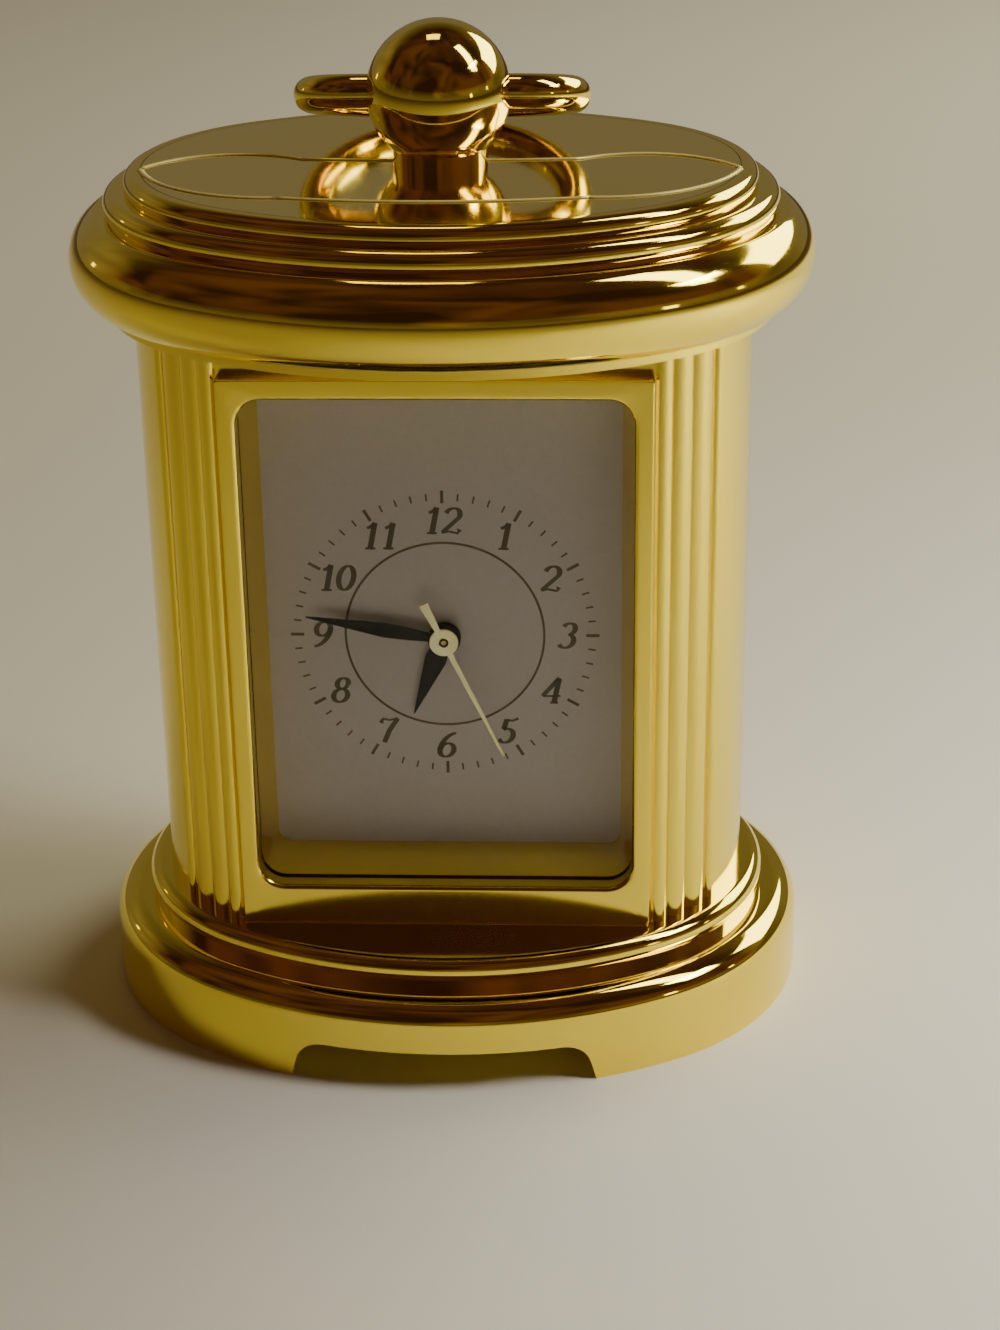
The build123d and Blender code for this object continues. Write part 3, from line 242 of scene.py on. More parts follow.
class MovementSizes(bpy.types.PropertyGroup):
    """Coil of the movement."""

    wire: length("Coil wire", "Radius of the coil's wire", 0.06)
    coil_radius: length("Coil radius", "Radius of the winding", 0.85)


class FinishColours(bpy.types.PropertyGroup):
    """Colours of the finishes."""

    gilt: tint("Gilt", "Polished gilding", (0.97, 0.8, 0.11))
    gilt_deep: tint("Deep gilt", "Gilding where it is a little thicker", (0.95, 0.72, 0.08))
    # Painted highlight: this pale colour makes the plate's raised lines look as bright as lines
    # that catch the window light
    pale: tint("Pale gilt", "Worn gilding on the plate's raised lines", (1.0, 0.94, 0.62))
    gilt_roughness: share("Gilt roughness", "Blur of the mirror surfaces", 0.055)
    satin_roughness: share("Satin roughness", "Blur of case, panel and plinth", 0.11)
    lacquer: tint("Dial lacquer", "Pale grey-beige of the dial", (0.93, 0.88, 0.98))
    ink: tint("Ink", "Numerals and ring", (0.15, 0.12, 0.09))
    black: tint("Black", "Hour and minute hand", (0.006, 0.005, 0.006))
    cream: tint("Cream", "Second hand", (0.95, 0.83, 0.5))
    brass: tint("Brass", "Movement plates and wheels", (0.8, 0.6, 0.3))
    steel: tint("Steel", "Screws and springs", (0.56, 0.56, 0.58))
    plastic: tint("Plastic", "Movement holder", (0.72, 0.7, 0.64))
    copper: tint("Copper", "Enamelled wire", (0.5, 0.16, 0.05))


class StageSettings(bpy.types.PropertyGroup):
    """Floor, lights and camera."""

    floor: tint("Floor", "Pale floor", (0.8, 0.78, 0.74))
    floor_radius: FloatProperty(
        name="Floor radius", description="Radius of the floor", default=8, unit="LENGTH"
    )
    wall: tint("Far wall", "Light that comes from behind the clock", (0.2, 0.17, 0.135))
    room: tint("Room", "Dim light from elsewhere", (0.03, 0.012, 0.005))
    front: tint("Front", "Pale things that stand low in front of the clock", (0.15, 0.115, 0.06))
    distance: FloatProperty(
        name="Lamp distance", description="How far the lamps stand", default=0.45, unit="LENGTH"
    )
    table_place: position("Table light", "Where the table light hangs", (0.3, -0.05, 0.25))
    table_target: position("Table target", "What the table light points at", (0.16, -0.03, 0))
    table_size: FloatProperty(
        name="Table light size", description="Side of the table light", default=0.12, unit="LENGTH"
    )
    table_spread: turn("Table light spread", "How wide the table light shines", 50)
    table_power: FloatProperty(name="Table light power", description="In watts", default=0.25)


# Outlines and solids

# Facets of a rounded window's corners, in a cut and in a visible wall
WINDOW_STEPS = 10
WALL_STEPS = 12


class Pen:
    """Draws an outline as vertices and edges, from straight runs and arcs."""

    def __init__(self, mesh, start, axis):
        self.mesh = mesh
        self.axis = axis
        self.before = set(mesh.edges)
        self.first = bmesh.ops.create_vert(mesh, co=start)["vert"][0]
        self.last = self.first

    def line_to(self, point):
        step = bmesh.ops.extrude_vert_indiv(self.mesh, verts=[self.last])
        self.last = step["verts"][0]
        self.last.co = point
        return self

    def arc(self, centre, angle, steps):
        """Turn about a centre, counterclockwise as seen against the axis."""
        made = bmesh.ops.spin(
            self.mesh, geom=[self.last], cent=centre, axis=self.axis, angle=angle, steps=steps
        )
        self.last = only(VERT, made["geom_last"])[0]
        return self

    def arc_through(self, middle, end, steps):
        """Arc through a middle point to an end point."""
        start, middle, end = self.last.co.copy(), Vector(middle), Vector(end)
        centre = circle_centre(start, middle, end)
        before, after = start - centre, end - centre
        angle = before.angle(after)
        side = (middle - start).cross(end - middle).dot(self.axis)
        if (start - centre).dot(middle - centre) < before.dot(after):
            angle = 2 * pi - angle
        return self.arc(centre, angle if side > 0 else -angle, steps)

    def close(self):
        """Join the end of the outline to its start."""
        if (self.last.co - self.first.co).length > MERGE:
            bmesh.ops.contextual_create(self.mesh, geom=[self.last, self.first])
        else:
            bmesh.ops.weld_verts(self.mesh, targetmap={self.last: self.first})
            self.last = self.first
        return self.edges()

    def edges(self):
        return [edge for edge in self.mesh.edges if edge not in self.before]


def circle_centre(a, b, c):
    """Centre of the circle through three points."""
    first, second = b - a, c - a
    normal = first.cross(second)
    across = normal.cross(first) * second.length_squared
    across += second.cross(normal) * first.length_squared
    return a + across / (2 * normal.length_squared)


def only(kind, geometry):
    """The items of one kind, or of several, out of an operator's result."""
    return [item for item in geometry if isinstance(item, kind)]


def whole(mesh):
    """All that has to be spun or mirrored while a mesh has no faces yet."""
    return list(mesh.verts) + list(mesh.edges)


def carry(mesh, ring, arcs):
    """Take a section round one level arc after another; gives its last place."""
    for centre, angle, steps in arcs:
        made = bmesh.ops.spin(
            mesh, geom=ring, cent=centre, axis=UPWARD, angle=angle, steps=steps
        )
        ring = made["geom_last"]
    return ring


def close_holes(mesh):
    rims = [edge for edge in mesh.edges if edge.is_boundary]
    bmesh.ops.holes_fill(mesh, edges=rims, sides=0)


def thicken(mesh, faces, move):
    """Extrude flat faces into a closed solid."""
    made = bmesh.ops.extrude_face_region(mesh, geom=faces)
    bmesh.ops.translate(mesh, verts=only(VERT, made["geom"]), vec=move)


def fill(mesh, edges):
    """Fill an outline, with any outlines inside it left open."""
    made = bmesh.ops.triangle_fill(mesh, edges=edges, use_beauty=True, use_dissolve=False)
    return only(FACE, made["geom"])


def rounded_window(mesh, half, bottom, top, corner, level, steps=WINDOW_STEPS):
    """Upright rounded rectangle at a level along Y."""
    pen = Pen(mesh, (half, level, bottom + corner), FRONTWARD)
    right, left, high, low = half - corner, corner - half, top - corner, bottom + corner
    for turns, (x, z) in enumerate(((right, high), (left, high), (left, low), (right, low))):
        angle = turns * pi / 2
        pen.line_to((x + corner * cos(angle), level, z + corner * sin(angle)))
        pen.arc((x, level, z), pi / 2, steps)
    return pen.close()


def window_wall(mesh, shape, stations):
    """Wall from ring to ring of a rounded window; each ring has its growth and its level."""
    half, bottom, top, corner = shape
    grow, level = stations[0]
    outline = (half + grow, bottom - grow, top + grow, corner + grow)
    first = ring = rounded_window(mesh, *outline, level, WALL_STEPS)
    for grow, level in stations[1:]:
        made = bmesh.ops.extrude_edge_only(mesh, edges=ring)["geom"]
        for vert in only(VERT, made):
            x = max(corner - half, min(half - corner, vert.co.x))
            z = max(bottom + corner, min(top - corner, vert.co.z))
            away = Vector((vert.co.x - x, 0, vert.co.z - z)).normalized()
            vert.co = Vector((x, level, z)) + away * (corner + grow)
        ring = only(EDGE, made)
    return first, ring


def rectangle(mesh, half, bottom, top, level):
    """Upright rectangle at a level along Y."""
    pen = Pen(mesh, (half, level, bottom), FRONTWARD)
    pen.line_to((half, level, top))
    pen.line_to((-half, level, top))
    pen.line_to((-half, level, bottom))
    return pen.close()


def add_object(name, data):
    made = bpy.data.objects.new(name, data)
    bpy.context.scene.collection.objects.link(made)
    return made


def store(name, mesh):
    """Mesh data made from a bmesh, which isn't needed any more."""
    data = bpy.data.meshes.new(name)
    mesh.to_mesh(data)
    mesh.free()
    return data


def temporary(name, mesh):
    """Object that lives only while one solid is cut from another."""
    bmesh.ops.recalc_face_normals(mesh, faces=mesh.faces)
    return add_object(name, store(name, mesh))


def carve(mesh, cutter):
    """Take one closed solid away from another."""
    target, tool = temporary("target", mesh), temporary("tool", cutter)
    cut = target.modifiers.new("cut", "BOOLEAN")
    cut.object = tool
    cut.operation = "DIFFERENCE"
    cut.solver = "EXACT"
    depsgraph = bpy.context.evaluated_depsgraph_get()
    result = bmesh.new()
    result.from_mesh(target.evaluated_get(depsgraph).to_mesh())
    for item in (target, tool):
        data = item.data
        bpy.data.objects.remove(item)
        bpy.data.meshes.remove(data)
    return result


def crease_edges(mesh, limit):
    """Smooth faces, with a hard line wherever two faces meet at more than the limit."""
    for face in mesh.faces:
        face.smooth = True
    for edge in mesh.edges:
        edge.smooth = not (edge.is_manifold and edge.calc_face_angle() > limit)


def add_piece(name, mesh, slot, nodes=(), body="clock", coat=None, edge=None, crease=CREASE):
    """Turn a mesh into a piece that rides on a body; its coat is its slot's unless one is named."""
    bmesh.ops.remove_doubles(mesh, verts=mesh.verts, dist=MERGE)
    bmesh.ops.recalc_face_normals(mesh, faces=mesh.faces)
    crease_edges(mesh, crease)
    piece = add_object(name, store(name, mesh))
    piece.data.materials.append(finish(coat or slot))
    if edge:
        soften = piece.modifiers.new("edge", "BEVEL")
        soften.width = edge
        soften.segments = EDGE_SEGMENTS
        soften.limit_method = "ANGLE"
        soften.angle_limit = crease
    weight = piece.modifiers.new("normals", "WEIGHTED_NORMAL")
    weight.keep_sharp = True
    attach(piece, body)
    if nodes:
        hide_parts(*nodes)
    return piece


# The oval


class Oval:
    """The case's oval, worked out from its three sizes."""

    def __init__(self, sizes):
        self.end = sizes.end_radius
        self.end_x = sizes.half_width - sizes.end_radius
        gap = sizes.half_depth - self.end
        squares = self.end_x**2 + sizes.half_depth**2 - self.end**2
        self.side = squares / gap / 2
        self.side_y = self.side - sizes.half_depth
        self.angle = atan2(self.side_y, self.end_x)
        self.core = sizes.core
        self.end_steps = sizes.end_steps
        self.side_steps = sizes.side_steps

    def arcs(self):
        """Centre, angle and facets of each of the four arcs, from the front right corner on."""
        side_arc = pi - 2 * self.angle
        return (
            ((self.end_x, 0, 0), 2 * self.angle, self.end_steps),
            ((0, -self.side_y, 0), side_arc, self.side_steps),
            ((-self.end_x, 0, 0), 2 * self.angle, self.end_steps),
            ((0, self.side_y, 0), side_arc, self.side_steps),
        )

    def at(self, offset, height):
        """Place on the right end at an offset outside the oval."""
        return (self.end_x + self.end + offset, 0, height)

    def sweep(self, mesh):
        """Carry the drawn section round the oval and close top and bottom."""
        matrix = Matrix.Rotation(-self.angle, 3, "Z")
        bmesh.ops.rotate(mesh, verts=mesh.verts, cent=(self.end_x, 0, 0), matrix=matrix)
        carry(mesh, whole(mesh), self.arcs())
        bmesh.ops.remove_doubles(mesh, verts=mesh.verts, dist=MERGE)
        close_holes(mesh)


def moulding(context, bottom, top, *runs):
    """Solid swept round the oval, along points and beads.

    A point is given by its offset and height; a bead by its middle's offset and height, its radius,
    the two angles from the horizontal that it runs between, and its facets.
    """
    oval = Oval(context.scene.clock_oval)
    mesh = bmesh.new()
    pen = Pen(mesh, oval.at(-oval.core, bottom), FRONTWARD)
    for offset, height, *bead in runs:
        if bead:
            radius, start, end, steps = bead
            pen.line_to(oval.at(offset + radius * cos(start), height + radius * sin(start)))
            pen.arc(oval.at(offset, height), end - start, steps)
        else:
            pen.line_to(oval.at(offset, height))
    pen.line_to(oval.at(-oval.core, top))
    oval.sweep(mesh)
    return mesh


# Shader building


class Wire:
    """A value in a shader, which plain sums can be written with."""

    def __init__(self, shader, socket):
        self.shader = shader
        self.socket = socket

    def _sum(self, operation, first, second):
        return self.shader.node("ShaderNodeMath", {"operation": operation}, {0: first, 1: second})

    def __add__(self, other):
        return self._sum("ADD", self, other)

    def __radd__(self, other):
        return self._sum("ADD", other, self)

    def __sub__(self, other):
        return self._sum("SUBTRACT", self, other)

    def __rsub__(self, other):
        return self._sum("SUBTRACT", other, self)

    def __mul__(self, other):
        return self._sum("MULTIPLY", self, other)

    def __rmul__(self, other):
        return self._sum("MULTIPLY", other, self)


class Shader:
    """Node tree of one finish."""

    def __init__(self, name, owner=None):
        self.owner = owner or bpy.data.materials.new(name)
        self.owner.use_nodes = True
        self.tree = self.owner.node_tree
        self.tree.nodes.clear()

    def node(self, kind, settings=None, values=None, output=0):
        """Add a node: its settings first, then the values or wires of its sockets."""
        made = self.tree.nodes.new(kind)
        for key, value in (settings or {}).items():
            if key == "stops":
                self.set_stops(made.color_ramp, value)
            else:
                setattr(made, key, value)
        for key, value in (values or {}).items():
            if isinstance(value, Wire):
                self.tree.links.new(value.socket, made.inputs[key])
            else:
                made.inputs[key].default_value = value
        return Wire(self, made.outputs[output]) if made.outputs else made

    @staticmethod
    def set_stops(ramp, stops):
        while len(ramp.elements) < len(stops):
            ramp.elements.new(1)
        for element, (stop, level) in zip(ramp.elements, stops):
            element.position = stop
            element.color = (level, level, level, 1)

    def place(self, stretch=(1, 1, 1), turned=(0, 0, 0)):
        """Object coordinates, stretched for brushed or drawn patterns."""
        at = self.node("ShaderNodeTexCoord", output="Object")
        values = {"Vector": at, "Scale": stretch, "Rotation": turned}
        return self.node("ShaderNodeMapping", {"vector_type": "POINT"}, values)

    def noise(self, scale, detail=2.0, distortion=0.0, place=None):
        values = {"Scale": scale, "Detail": detail, "Distortion": distortion}
        values["Vector"] = place or self.place()
        return self.node("ShaderNodeTexNoise", None, values, "Fac")

    def ramp(self, factor, *stops):
        return self.node("ShaderNodeValToRGB", {"stops": stops}, {"Fac": factor})

    def blend(self, factor, first, second):
        """Colour between two colours."""
        first, second = (end if isinstance(end, Wire) else (*end, 1) for end in (first, second))
        values = {0: factor, 6: first, 7: second}
        return self.node("ShaderNodeMix", {"data_type": "RGBA"}, values, 2)

    def bump(self, height, distance, strength):
        """Relief that only the light shows; its distance is its height in metres."""
        values = {"Height": height, "Distance": distance, "Strength": strength}
        return self.node("ShaderNodeBump", None, values)

    def surface(self, **sockets):
        """Principled surface; a socket's name is given with underscores for its spaces."""
        values = {}
        for key, value in sockets.items():
            if isinstance(value, tuple) and len(value) == 3:
                value = (*value, 1)
            values[key.replace("_", " ")] = value
        body = self.node("ShaderNodeBsdfPrincipled", None, values)
        self.output(body)
        return self.owner

    def output(self, wire):
        self.node("ShaderNodeOutputMaterial", None, {"Surface": wire})


# Finishes

# Height of the faint waves and grain that only the light shows
FINE_RELIEF = 0.02 * MM
# How much grey the haze on the top plate adds
GREYING = 0.16
CRYSTAL_IOR = 1.25


def brighter(colour, factor):
    """The colour times a factor, no brighter than white; a factor below one darkens it."""
    return tuple(min(1.0, channel * factor) for channel in colour)


def hairlines(shader, stretch, turned, scale):
    """Fine scratches that run one way, as a mask."""
    streaks = shader.noise(scale, detail=3.0, distortion=0.3, place=shader.place(stretch, turned))
    return shader.ramp(streaks, (0.62, 0.0), (0.72, 1.0))


def polished_gilding(colours):
    """Mirror gilding on cast metal: a faint wave, handling marks and hair scratches."""
    shader = Shader("polished_gilding")
    smudge = shader.noise(140, detail=5.0, distortion=0.6)
    wave = shader.noise(210, detail=1.0)
    scratch = hairlines(shader, stretch=(1, 1, 9), turned=(0.3, 0.2, 0.4), scale=900)
    shade = shader.blend(smudge, tuple(colours.gilt), tuple(colours.gilt_deep))
    handled = shader.ramp(smudge, (0.45, 0.0), (0.75, 1.0))
    blur = colours.gilt_roughness + 0.05 * handled + 0.05 * scratch
    relief = shader.bump(wave + 0.04 * scratch, FINE_RELIEF, strength=0.5)
    return shader.surface(Base_Color=shade, Metallic=1.0, Roughness=blur, Normal=relief)


def satin_gilding(name, colours, mirror_above=None):
    """Soft-polished gilding with fine upright grain; above a height it is mirror-polished."""
    shader = Shader(name)
    cloud = shader.noise(120, detail=4.0, distortion=0.4)
    grain = shader.noise(5200, place=shader.place(stretch=(1, 1, 0.25)))
    wave = shader.noise(160, detail=1.5)
    shade = shader.blend(cloud, tuple(colours.gilt), tuple(colours.gilt_deep))
    satin = 1.0
    if mirror_above is not None:
        height = shader.node("ShaderNodeSeparateXYZ", None, {0: shader.place()}, "Z")
        satin = shader.ramp((height - mirror_above) * (1 / MM) + 0.5, (0.4, 1.0), (0.6, 0.0))
    extra = colours.satin_roughness - colours.gilt_roughness
    blur = colours.gilt_roughness + (0.05 * cloud + 0.04 * grain + extra) * satin
    relief = shader.bump(wave + 0.11 * grain * satin, FINE_RELIEF, strength=0.5)
    return shader.surface(Base_Color=shade, Metallic=1.0, Roughness=blur, Normal=relief)


def plate_gilding(colours):
    """Bright top plate with long faint wiping marks."""
    shader = Shader("plate_gilding")
    haze = shader.noise(110, detail=5.0, distortion=0.8)
    wipe = hairlines(shader, stretch=(1, 14, 1), turned=(0, 0, 0.1), scale=420)
    wave = shader.noise(120, detail=1.0)
    grain = shader.noise(2400, detail=3.0)
    greyer = tuple((channel + GREYING) / (1 + GREYING) for channel in colours.gilt)
    shade = shader.blend(haze, tuple(colours.gilt), greyer)
    blur = colours.gilt_roughness + 0.07 * haze + 0.08 * wipe
    relief = shader.bump(wave + 0.05 * wipe + 0.06 * grain, FINE_RELIEF, strength=0.5)
    return shader.surface(Base_Color=shade, Metallic=1.0, Roughness=blur, Normal=relief)


def clear_crystal():
    """Thin clear crystal that mirrors a little and lets the rest through."""
    shader = Shader("clear_crystal")
    smear = shader.noise(160, detail=4.0, distortion=1.0)
    through = shader.node("ShaderNodeBsdfTransparent", None, {"Color": (0.97, 0.98, 0.97, 1)})
    gloss = shader.node("ShaderNodeBsdfGlossy", None, {"Roughness": 0.03 + 0.06 * smear})
    amount = shader.node("ShaderNodeFresnel", None, {"IOR": CRYSTAL_IOR})
    mixed = shader.node("ShaderNodeMixShader", None, {0: amount, 1: through, 2: gloss})
    shader.output(mixed)
    return shader.owner


def dial_lacquer(colours):
    """Matt grey-beige lacquer with a fine grain."""
    shader = Shader("dial_lacquer")
    cloud = shader.noise(70, detail=3.0, distortion=0.3)
    fleck = shader.noise(3600, detail=3.0)
    light, dark = brighter(colours.lacquer, 1.05), brighter(colours.lacquer, 0.86)
    shade = shader.blend(0.35 * cloud + 0.65 * fleck, light, dark)
    relief = shader.bump(fleck, FINE_RELIEF, strength=0.5)
    blur = 0.5 + 0.15 * fleck
    return shader.surface(Base_Color=shade, Roughness=blur, Normal=relief)


def grained(name, first, second, roughness, scale, depth, strength, **sockets):
    """Coat whose colour, blur and relief all follow one grain."""
    shader = Shader(name)
    grain = shader.noise(scale, detail=3.0)
    shade = shader.blend(grain, tuple(first), tuple(second))
    relief = shader.bump(grain, depth, strength)
    blur = roughness + 0.1 * grain
    return shader.surface(Base_Color=shade, Roughness=blur, Normal=relief, **sockets)


def enamel(name, colour, roughness, scale, **sockets):
    """Thin smooth paint or ink with slight unevenness."""
    lighter = tuple(min(1.0, channel * 1.35 + 0.004) for channel in colour)
    return grained(name, colour, lighter, roughness, scale, 0.01 * MM, 0.4, **sockets)


def matt_gilding(name, light, dark, roughness, metal):
    """Gilding left matt, with a fine grain."""
    return grained(name, light, dark, roughness, 3000, FINE_RELIEF, 0.5, Metallic=metal)


def turned_metal(name, colour, roughness, scale):
    """Plate or wheel with a fine grain from the lathe or file."""
    shader = Shader(name)
    grain = shader.noise(scale, detail=3.0, place=shader.place(stretch=(1, 1, 7)))
    stain = shader.noise(300, detail=4.0, distortion=0.5)
    shade = shader.blend(stain, tuple(colour), brighter(colour, 0.8))
    relief = shader.bump(grain, FINE_RELIEF, strength=0.4)
    blur = roughness + 0.12 * grain
    return shader.surface(Base_Color=shade, Metallic=1.0, Roughness=blur, Normal=relief)


def moulded_plastic(colours):
    """Matt off-white plastic with a spark-eroded texture."""
    shader = Shader("moulded_plastic")
    texture = shader.noise(2600, detail=3.0)
    cloud = shader.noise(140, detail=2.0)
    ageing = (0.97, 0.94, 0.84)
    yellowed = tuple(channel * factor for channel, factor in zip(colours.plastic, ageing))
    shade = shader.blend(cloud, tuple(colours.plastic), yellowed)
    relief = shader.bump(texture, 0.03 * MM, strength=0.5)
    return shader.surface(Base_Color=shade, Roughness=0.5 + 0.12 * texture, Normal=relief)


def make_finishes(colours):
    """Every finish, by the material slot that it belongs to."""
    return {
        "gilt_polished": polished_gilding(colours),
        "gilt_satin": satin_gilding("satin_gilding", colours),
        "plinth": satin_gilding("plinth_gilding", colours, bpy.context.scene.clock_base.wall),
        "plate": plate_gilding(colours),
        # The raised lines' pale colour is a painted highlight that stands in for the window light
        # they catch
        "plate_line": matt_gilding("plate_line", colours.pale, colours.gilt, 0.3, 0.3),
        "surround": matt_gilding("surround", colours.gilt, colours.gilt_deep, 0.16, 1.0),
        "crystal_glass": clear_crystal(),
        "dial_lacquer": dial_lacquer(colours),
        "ink": enamel("dial_ink", colours.ink, 0.45, 2600),
        "hand_black": enamel("black_lacquer", colours.black, 0.3, 900, Specular_IOR_Level=0.25),
        "hand_pale": enamel("cream_lacquer", colours.cream, 0.25, 900, Metallic=0.9),
        "movement_brass": turned_metal("turned_brass", colours.brass, 0.26, 2400),
        "movement_steel": turned_metal("drawn_steel", colours.steel, 0.3, 2800),
        "screw_steel": turned_metal("plated_steel", brighter(colours.steel, 1.2), 0.2, 3200),
        "cell_steel": turned_metal("nickel_plate", brighter(colours.steel, 1.3), 0.22, 1800),
        "holder_plastic": moulded_plastic(colours),
        "coil_copper": enamel("enamelled_wire", colours.copper, 0.22, 1500),
    }


FINISHES = {}


def finish(slot):
    """Finish of a slot; all of them are made at the first call."""
    if not FINISHES:
        FINISHES.update(make_finishes(bpy.context.scene.clock_finish))
    return FINISHES[slot]


# Base

# Facets across each round
OVOLO_STEPS = 16
NOTCH_STEPS = 8
ROLL_STEPS = 20


def notch_cutter(sizes, reach):
    """Prism of the gap between the feet, with rounded upper corners."""
    mesh = bmesh.new()
    half, slant, corner = sizes.notch_half, sizes.notch_slant, sizes.notch_corner
    lean = atan2(2 * slant, sizes.foot_height + OVERRUN)
    bottom, top = -OVERRUN, sizes.foot_height
    inner = half - slant
    run = corner / sin(pi / 4 + lean / 2) * cos(pi / 4 + lean / 2)
    side = Vector((slant * 2, 0, bottom - top)).normalized()
    start = Vector((inner, -reach, top)) + side * run
    pen = Pen(mesh, (half + slant, -reach, bottom), FRONTWARD)
    pen.line_to(start)
    pen.arc((inner - run, -reach, top - corner), pi / 2 - lean, NOTCH_STEPS)
    pen.line_to((run - inner, -reach, top))
    pen.arc((run - inner, -reach, top - corner), pi / 2 - lean, NOTCH_STEPS)
    pen.line_to((-half - slant, -reach, bottom))
    thicken(mesh, fill(mesh, pen.close()), (0, 2 * reach, 0))
    return mesh


class ClockPlinth(bpy.types.Operator):
    """Oval plinth with rounded shoulder, hollow underside and two feet"""

    bl_idname = "clock.plinth"
    bl_label = "Plinth"

    def execute(self, context):
        sizes = context.scene.clock_base
        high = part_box("plinth")[1]
        ceiling = sizes.foot_height + sizes.ceiling_gap
        inner = sizes.reach - sizes.foot_rim
        mesh = moulding(
            context,
            ceiling,
            high.z,
            (inner, ceiling),
            (inner, 0),
            (sizes.reach, 0),
            (sizes.reach - sizes.ovolo, sizes.wall, sizes.ovolo, 0, pi / 2, OVOLO_STEPS),
        )
        mesh = carve(mesh, notch_cutter(sizes, high.y + OVERRUN))
        add_piece("plinth_casting", mesh, "gilt_satin", ["plinth"], coat="plinth")
        return {"FINISHED"}


class ClockBaseRoll(bpy.types.Operator):
    """Roll and shelf that the case stands on"""

    bl_idname = "clock.base_roll"
    bl_label = "Base roll"

    def execute(self, context):
        sizes = context.scene.clock_base
        bottom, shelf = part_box("plinth")[1].z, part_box("case_body")[0].z
        radius = sizes.roll_radius
        centre = sizes.roll_reach - radius
        start = -acos((sizes.quirk_reach - centre) / radius)
        mesh = moulding(
            context,
            bottom,
            shelf,
            (sizes.quirk_reach, bottom),
            (centre, shelf - radius, radius, start, pi / 2, ROLL_STEPS),
        )
        add_piece("base_roll", mesh, "gilt_polished", ["base_moulding"])
        return {"FINISHED"}


# Case

# Parts of the reeds' span that each of a corner's three reeds takes
REED_SHARES = (0.38, 0.33, 0.29)
VALLEY_WIDTH_SHARE = 0.15
END_STEPS = 16
NOSE_STEPS = 6
BEVEL_STEPS = 6
EDGE_STEPS = 4
SCOOP_FACETS = 48


def draw_corner(mesh, oval, sizes, seat, panel_half):
    """Quarter of the case's outline in plan: smooth end, rounded edge, three reeds, panel seat."""
    valley = oval.end - sizes.reed_depth
    start = oval.angle - sizes.reed_span
    nose = sizes.reed_depth
    nose_angle = nose / oval.end

    def polar(radius, angle):
        return (oval.end_x + radius * cos(angle), radius * sin(angle), 0)

    pen = Pen(mesh, polar(oval.end, 0), UPWARD)
    pen.arc((oval.end_x, 0, 0), start - nose_angle, END_STEPS)
    pen.arc(polar(oval.end - nose, start - nose_angle), pi / 2, NOSE_STEPS)
    pen.line_to(polar(valley, start + nose_angle * VALLEY_WIDTH_SHARE))
    angle = start
    for index, portion in enumerate(REED_SHARES):
        sweep = portion * sizes.reed_span
        end = polar(valley, angle + sweep)
        if index == len(REED_SHARES) - 1:
            end = (panel_half, sqrt(valley**2 - (panel_half - oval.end_x) ** 2), 0)
        pen.arc_through(polar(oval.end, angle + sweep / 2), end, sizes.reed_steps)
        angle += sweep
    pen.line_to((panel_half, seat, 0))
    pen.line_to((0, seat, 0))


def draw_bore(mesh, oval, sizes, seat):
    """Quarter of the tube's bore in plan."""
    radius = oval.end - sizes.wall
    depth = seat - sizes.end_wall
    pen = Pen(mesh, (oval.end_x + radius, 0, 0), UPWARD)
    pen.arc((oval.end_x, 0, 0), asin(depth / radius), END_STEPS)
    pen.line_to((0, depth, 0))


def draw_case(oval, sizes, panel_half, bottom, top):
    mesh = bmesh.new()
    seat = sizes.flat_depth - sizes.panel
    draw_corner(mesh, oval, sizes, seat, panel_half)
    draw_bore(mesh, oval, sizes, seat)
    for axis in ("X", "Y"):
        bmesh.ops.mirror(
            mesh, geom=whole(mesh), matrix=Matrix.Identity(4), merge_dist=MERGE, axis=axis
        )
    bmesh.ops.remove_doubles(mesh, verts=mesh.verts, dist=MERGE)
    faces = fill(mesh, list(mesh.edges))
    thicken(mesh, faces, (0, 0, top - bottom))
    bmesh.ops.translate(mesh, verts=mesh.verts, vec=(0, 0, bottom))
    return mesh


def window_block(half, bottom, top, corner, front, back):
    """Solid between two levels, in the shape of a rounded window."""
    mesh = bmesh.new()
    outline = rounded_window(mesh, half, bottom, top, corner, front)
    thicken(mesh, fill(mesh, outline), (0, back - front, 0))
    return mesh


def opening(window, grow=0):
    """Half width, bottom, top and corner of the window, grown by a margin."""
    return window.half + grow, window.bottom - grow, window.top + grow, window.corner


def back_opening(case, inset=0):
    """Half width, bottom, top and corner of the opening in the back."""
    low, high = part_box("back_cover")
    bottom = low.z - case.clearance + case.back_margin + inset
    top = high.z - case.back_margin - inset
    return case.back_half - inset, bottom, top, case.back_corner


class ClockCase(bpy.types.Operator):
    """Reeded oval tube with its window and back opening"""

    bl_idname = "clock.case"
    bl_label = "Reeded case"

    def execute(self, context):
        sizes, window = context.scene.clock_case, context.scene.clock_window
        oval = Oval(context.scene.clock_oval)
        low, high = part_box("case_body")
        panel_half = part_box("front_panel")[1].x + sizes.clearance
        seat = sizes.flat_depth - sizes.panel
        mesh = draw_case(oval, sizes, panel_half, low.z, high.z)
        front = opening(window, window.margin + sizes.clearance)
        mesh = carve(mesh, window_block(*front, -seat - OVERRUN, OVERRUN + sizes.end_wall - seat))
        back = back_opening(sizes)
        mesh = carve(mesh, window_block(*back, seat - sizes.end_wall - OVERRUN, seat + OVERRUN))
        add_piece("reeded_case", mesh, "gilt_satin", ["case_body"])
        return {"FINISHED"}


def quarter_round(radius, level, steps, side=1):
    """Growth and level of each ring of a rounded edge, from the face to the side wall."""
    angles = [pi / 2 * step / steps for step in range(steps + 1)]
    return [
        (side * radius * (1 - sin(angle)), level + radius * (1 - cos(angle))) for angle in angles
    ]


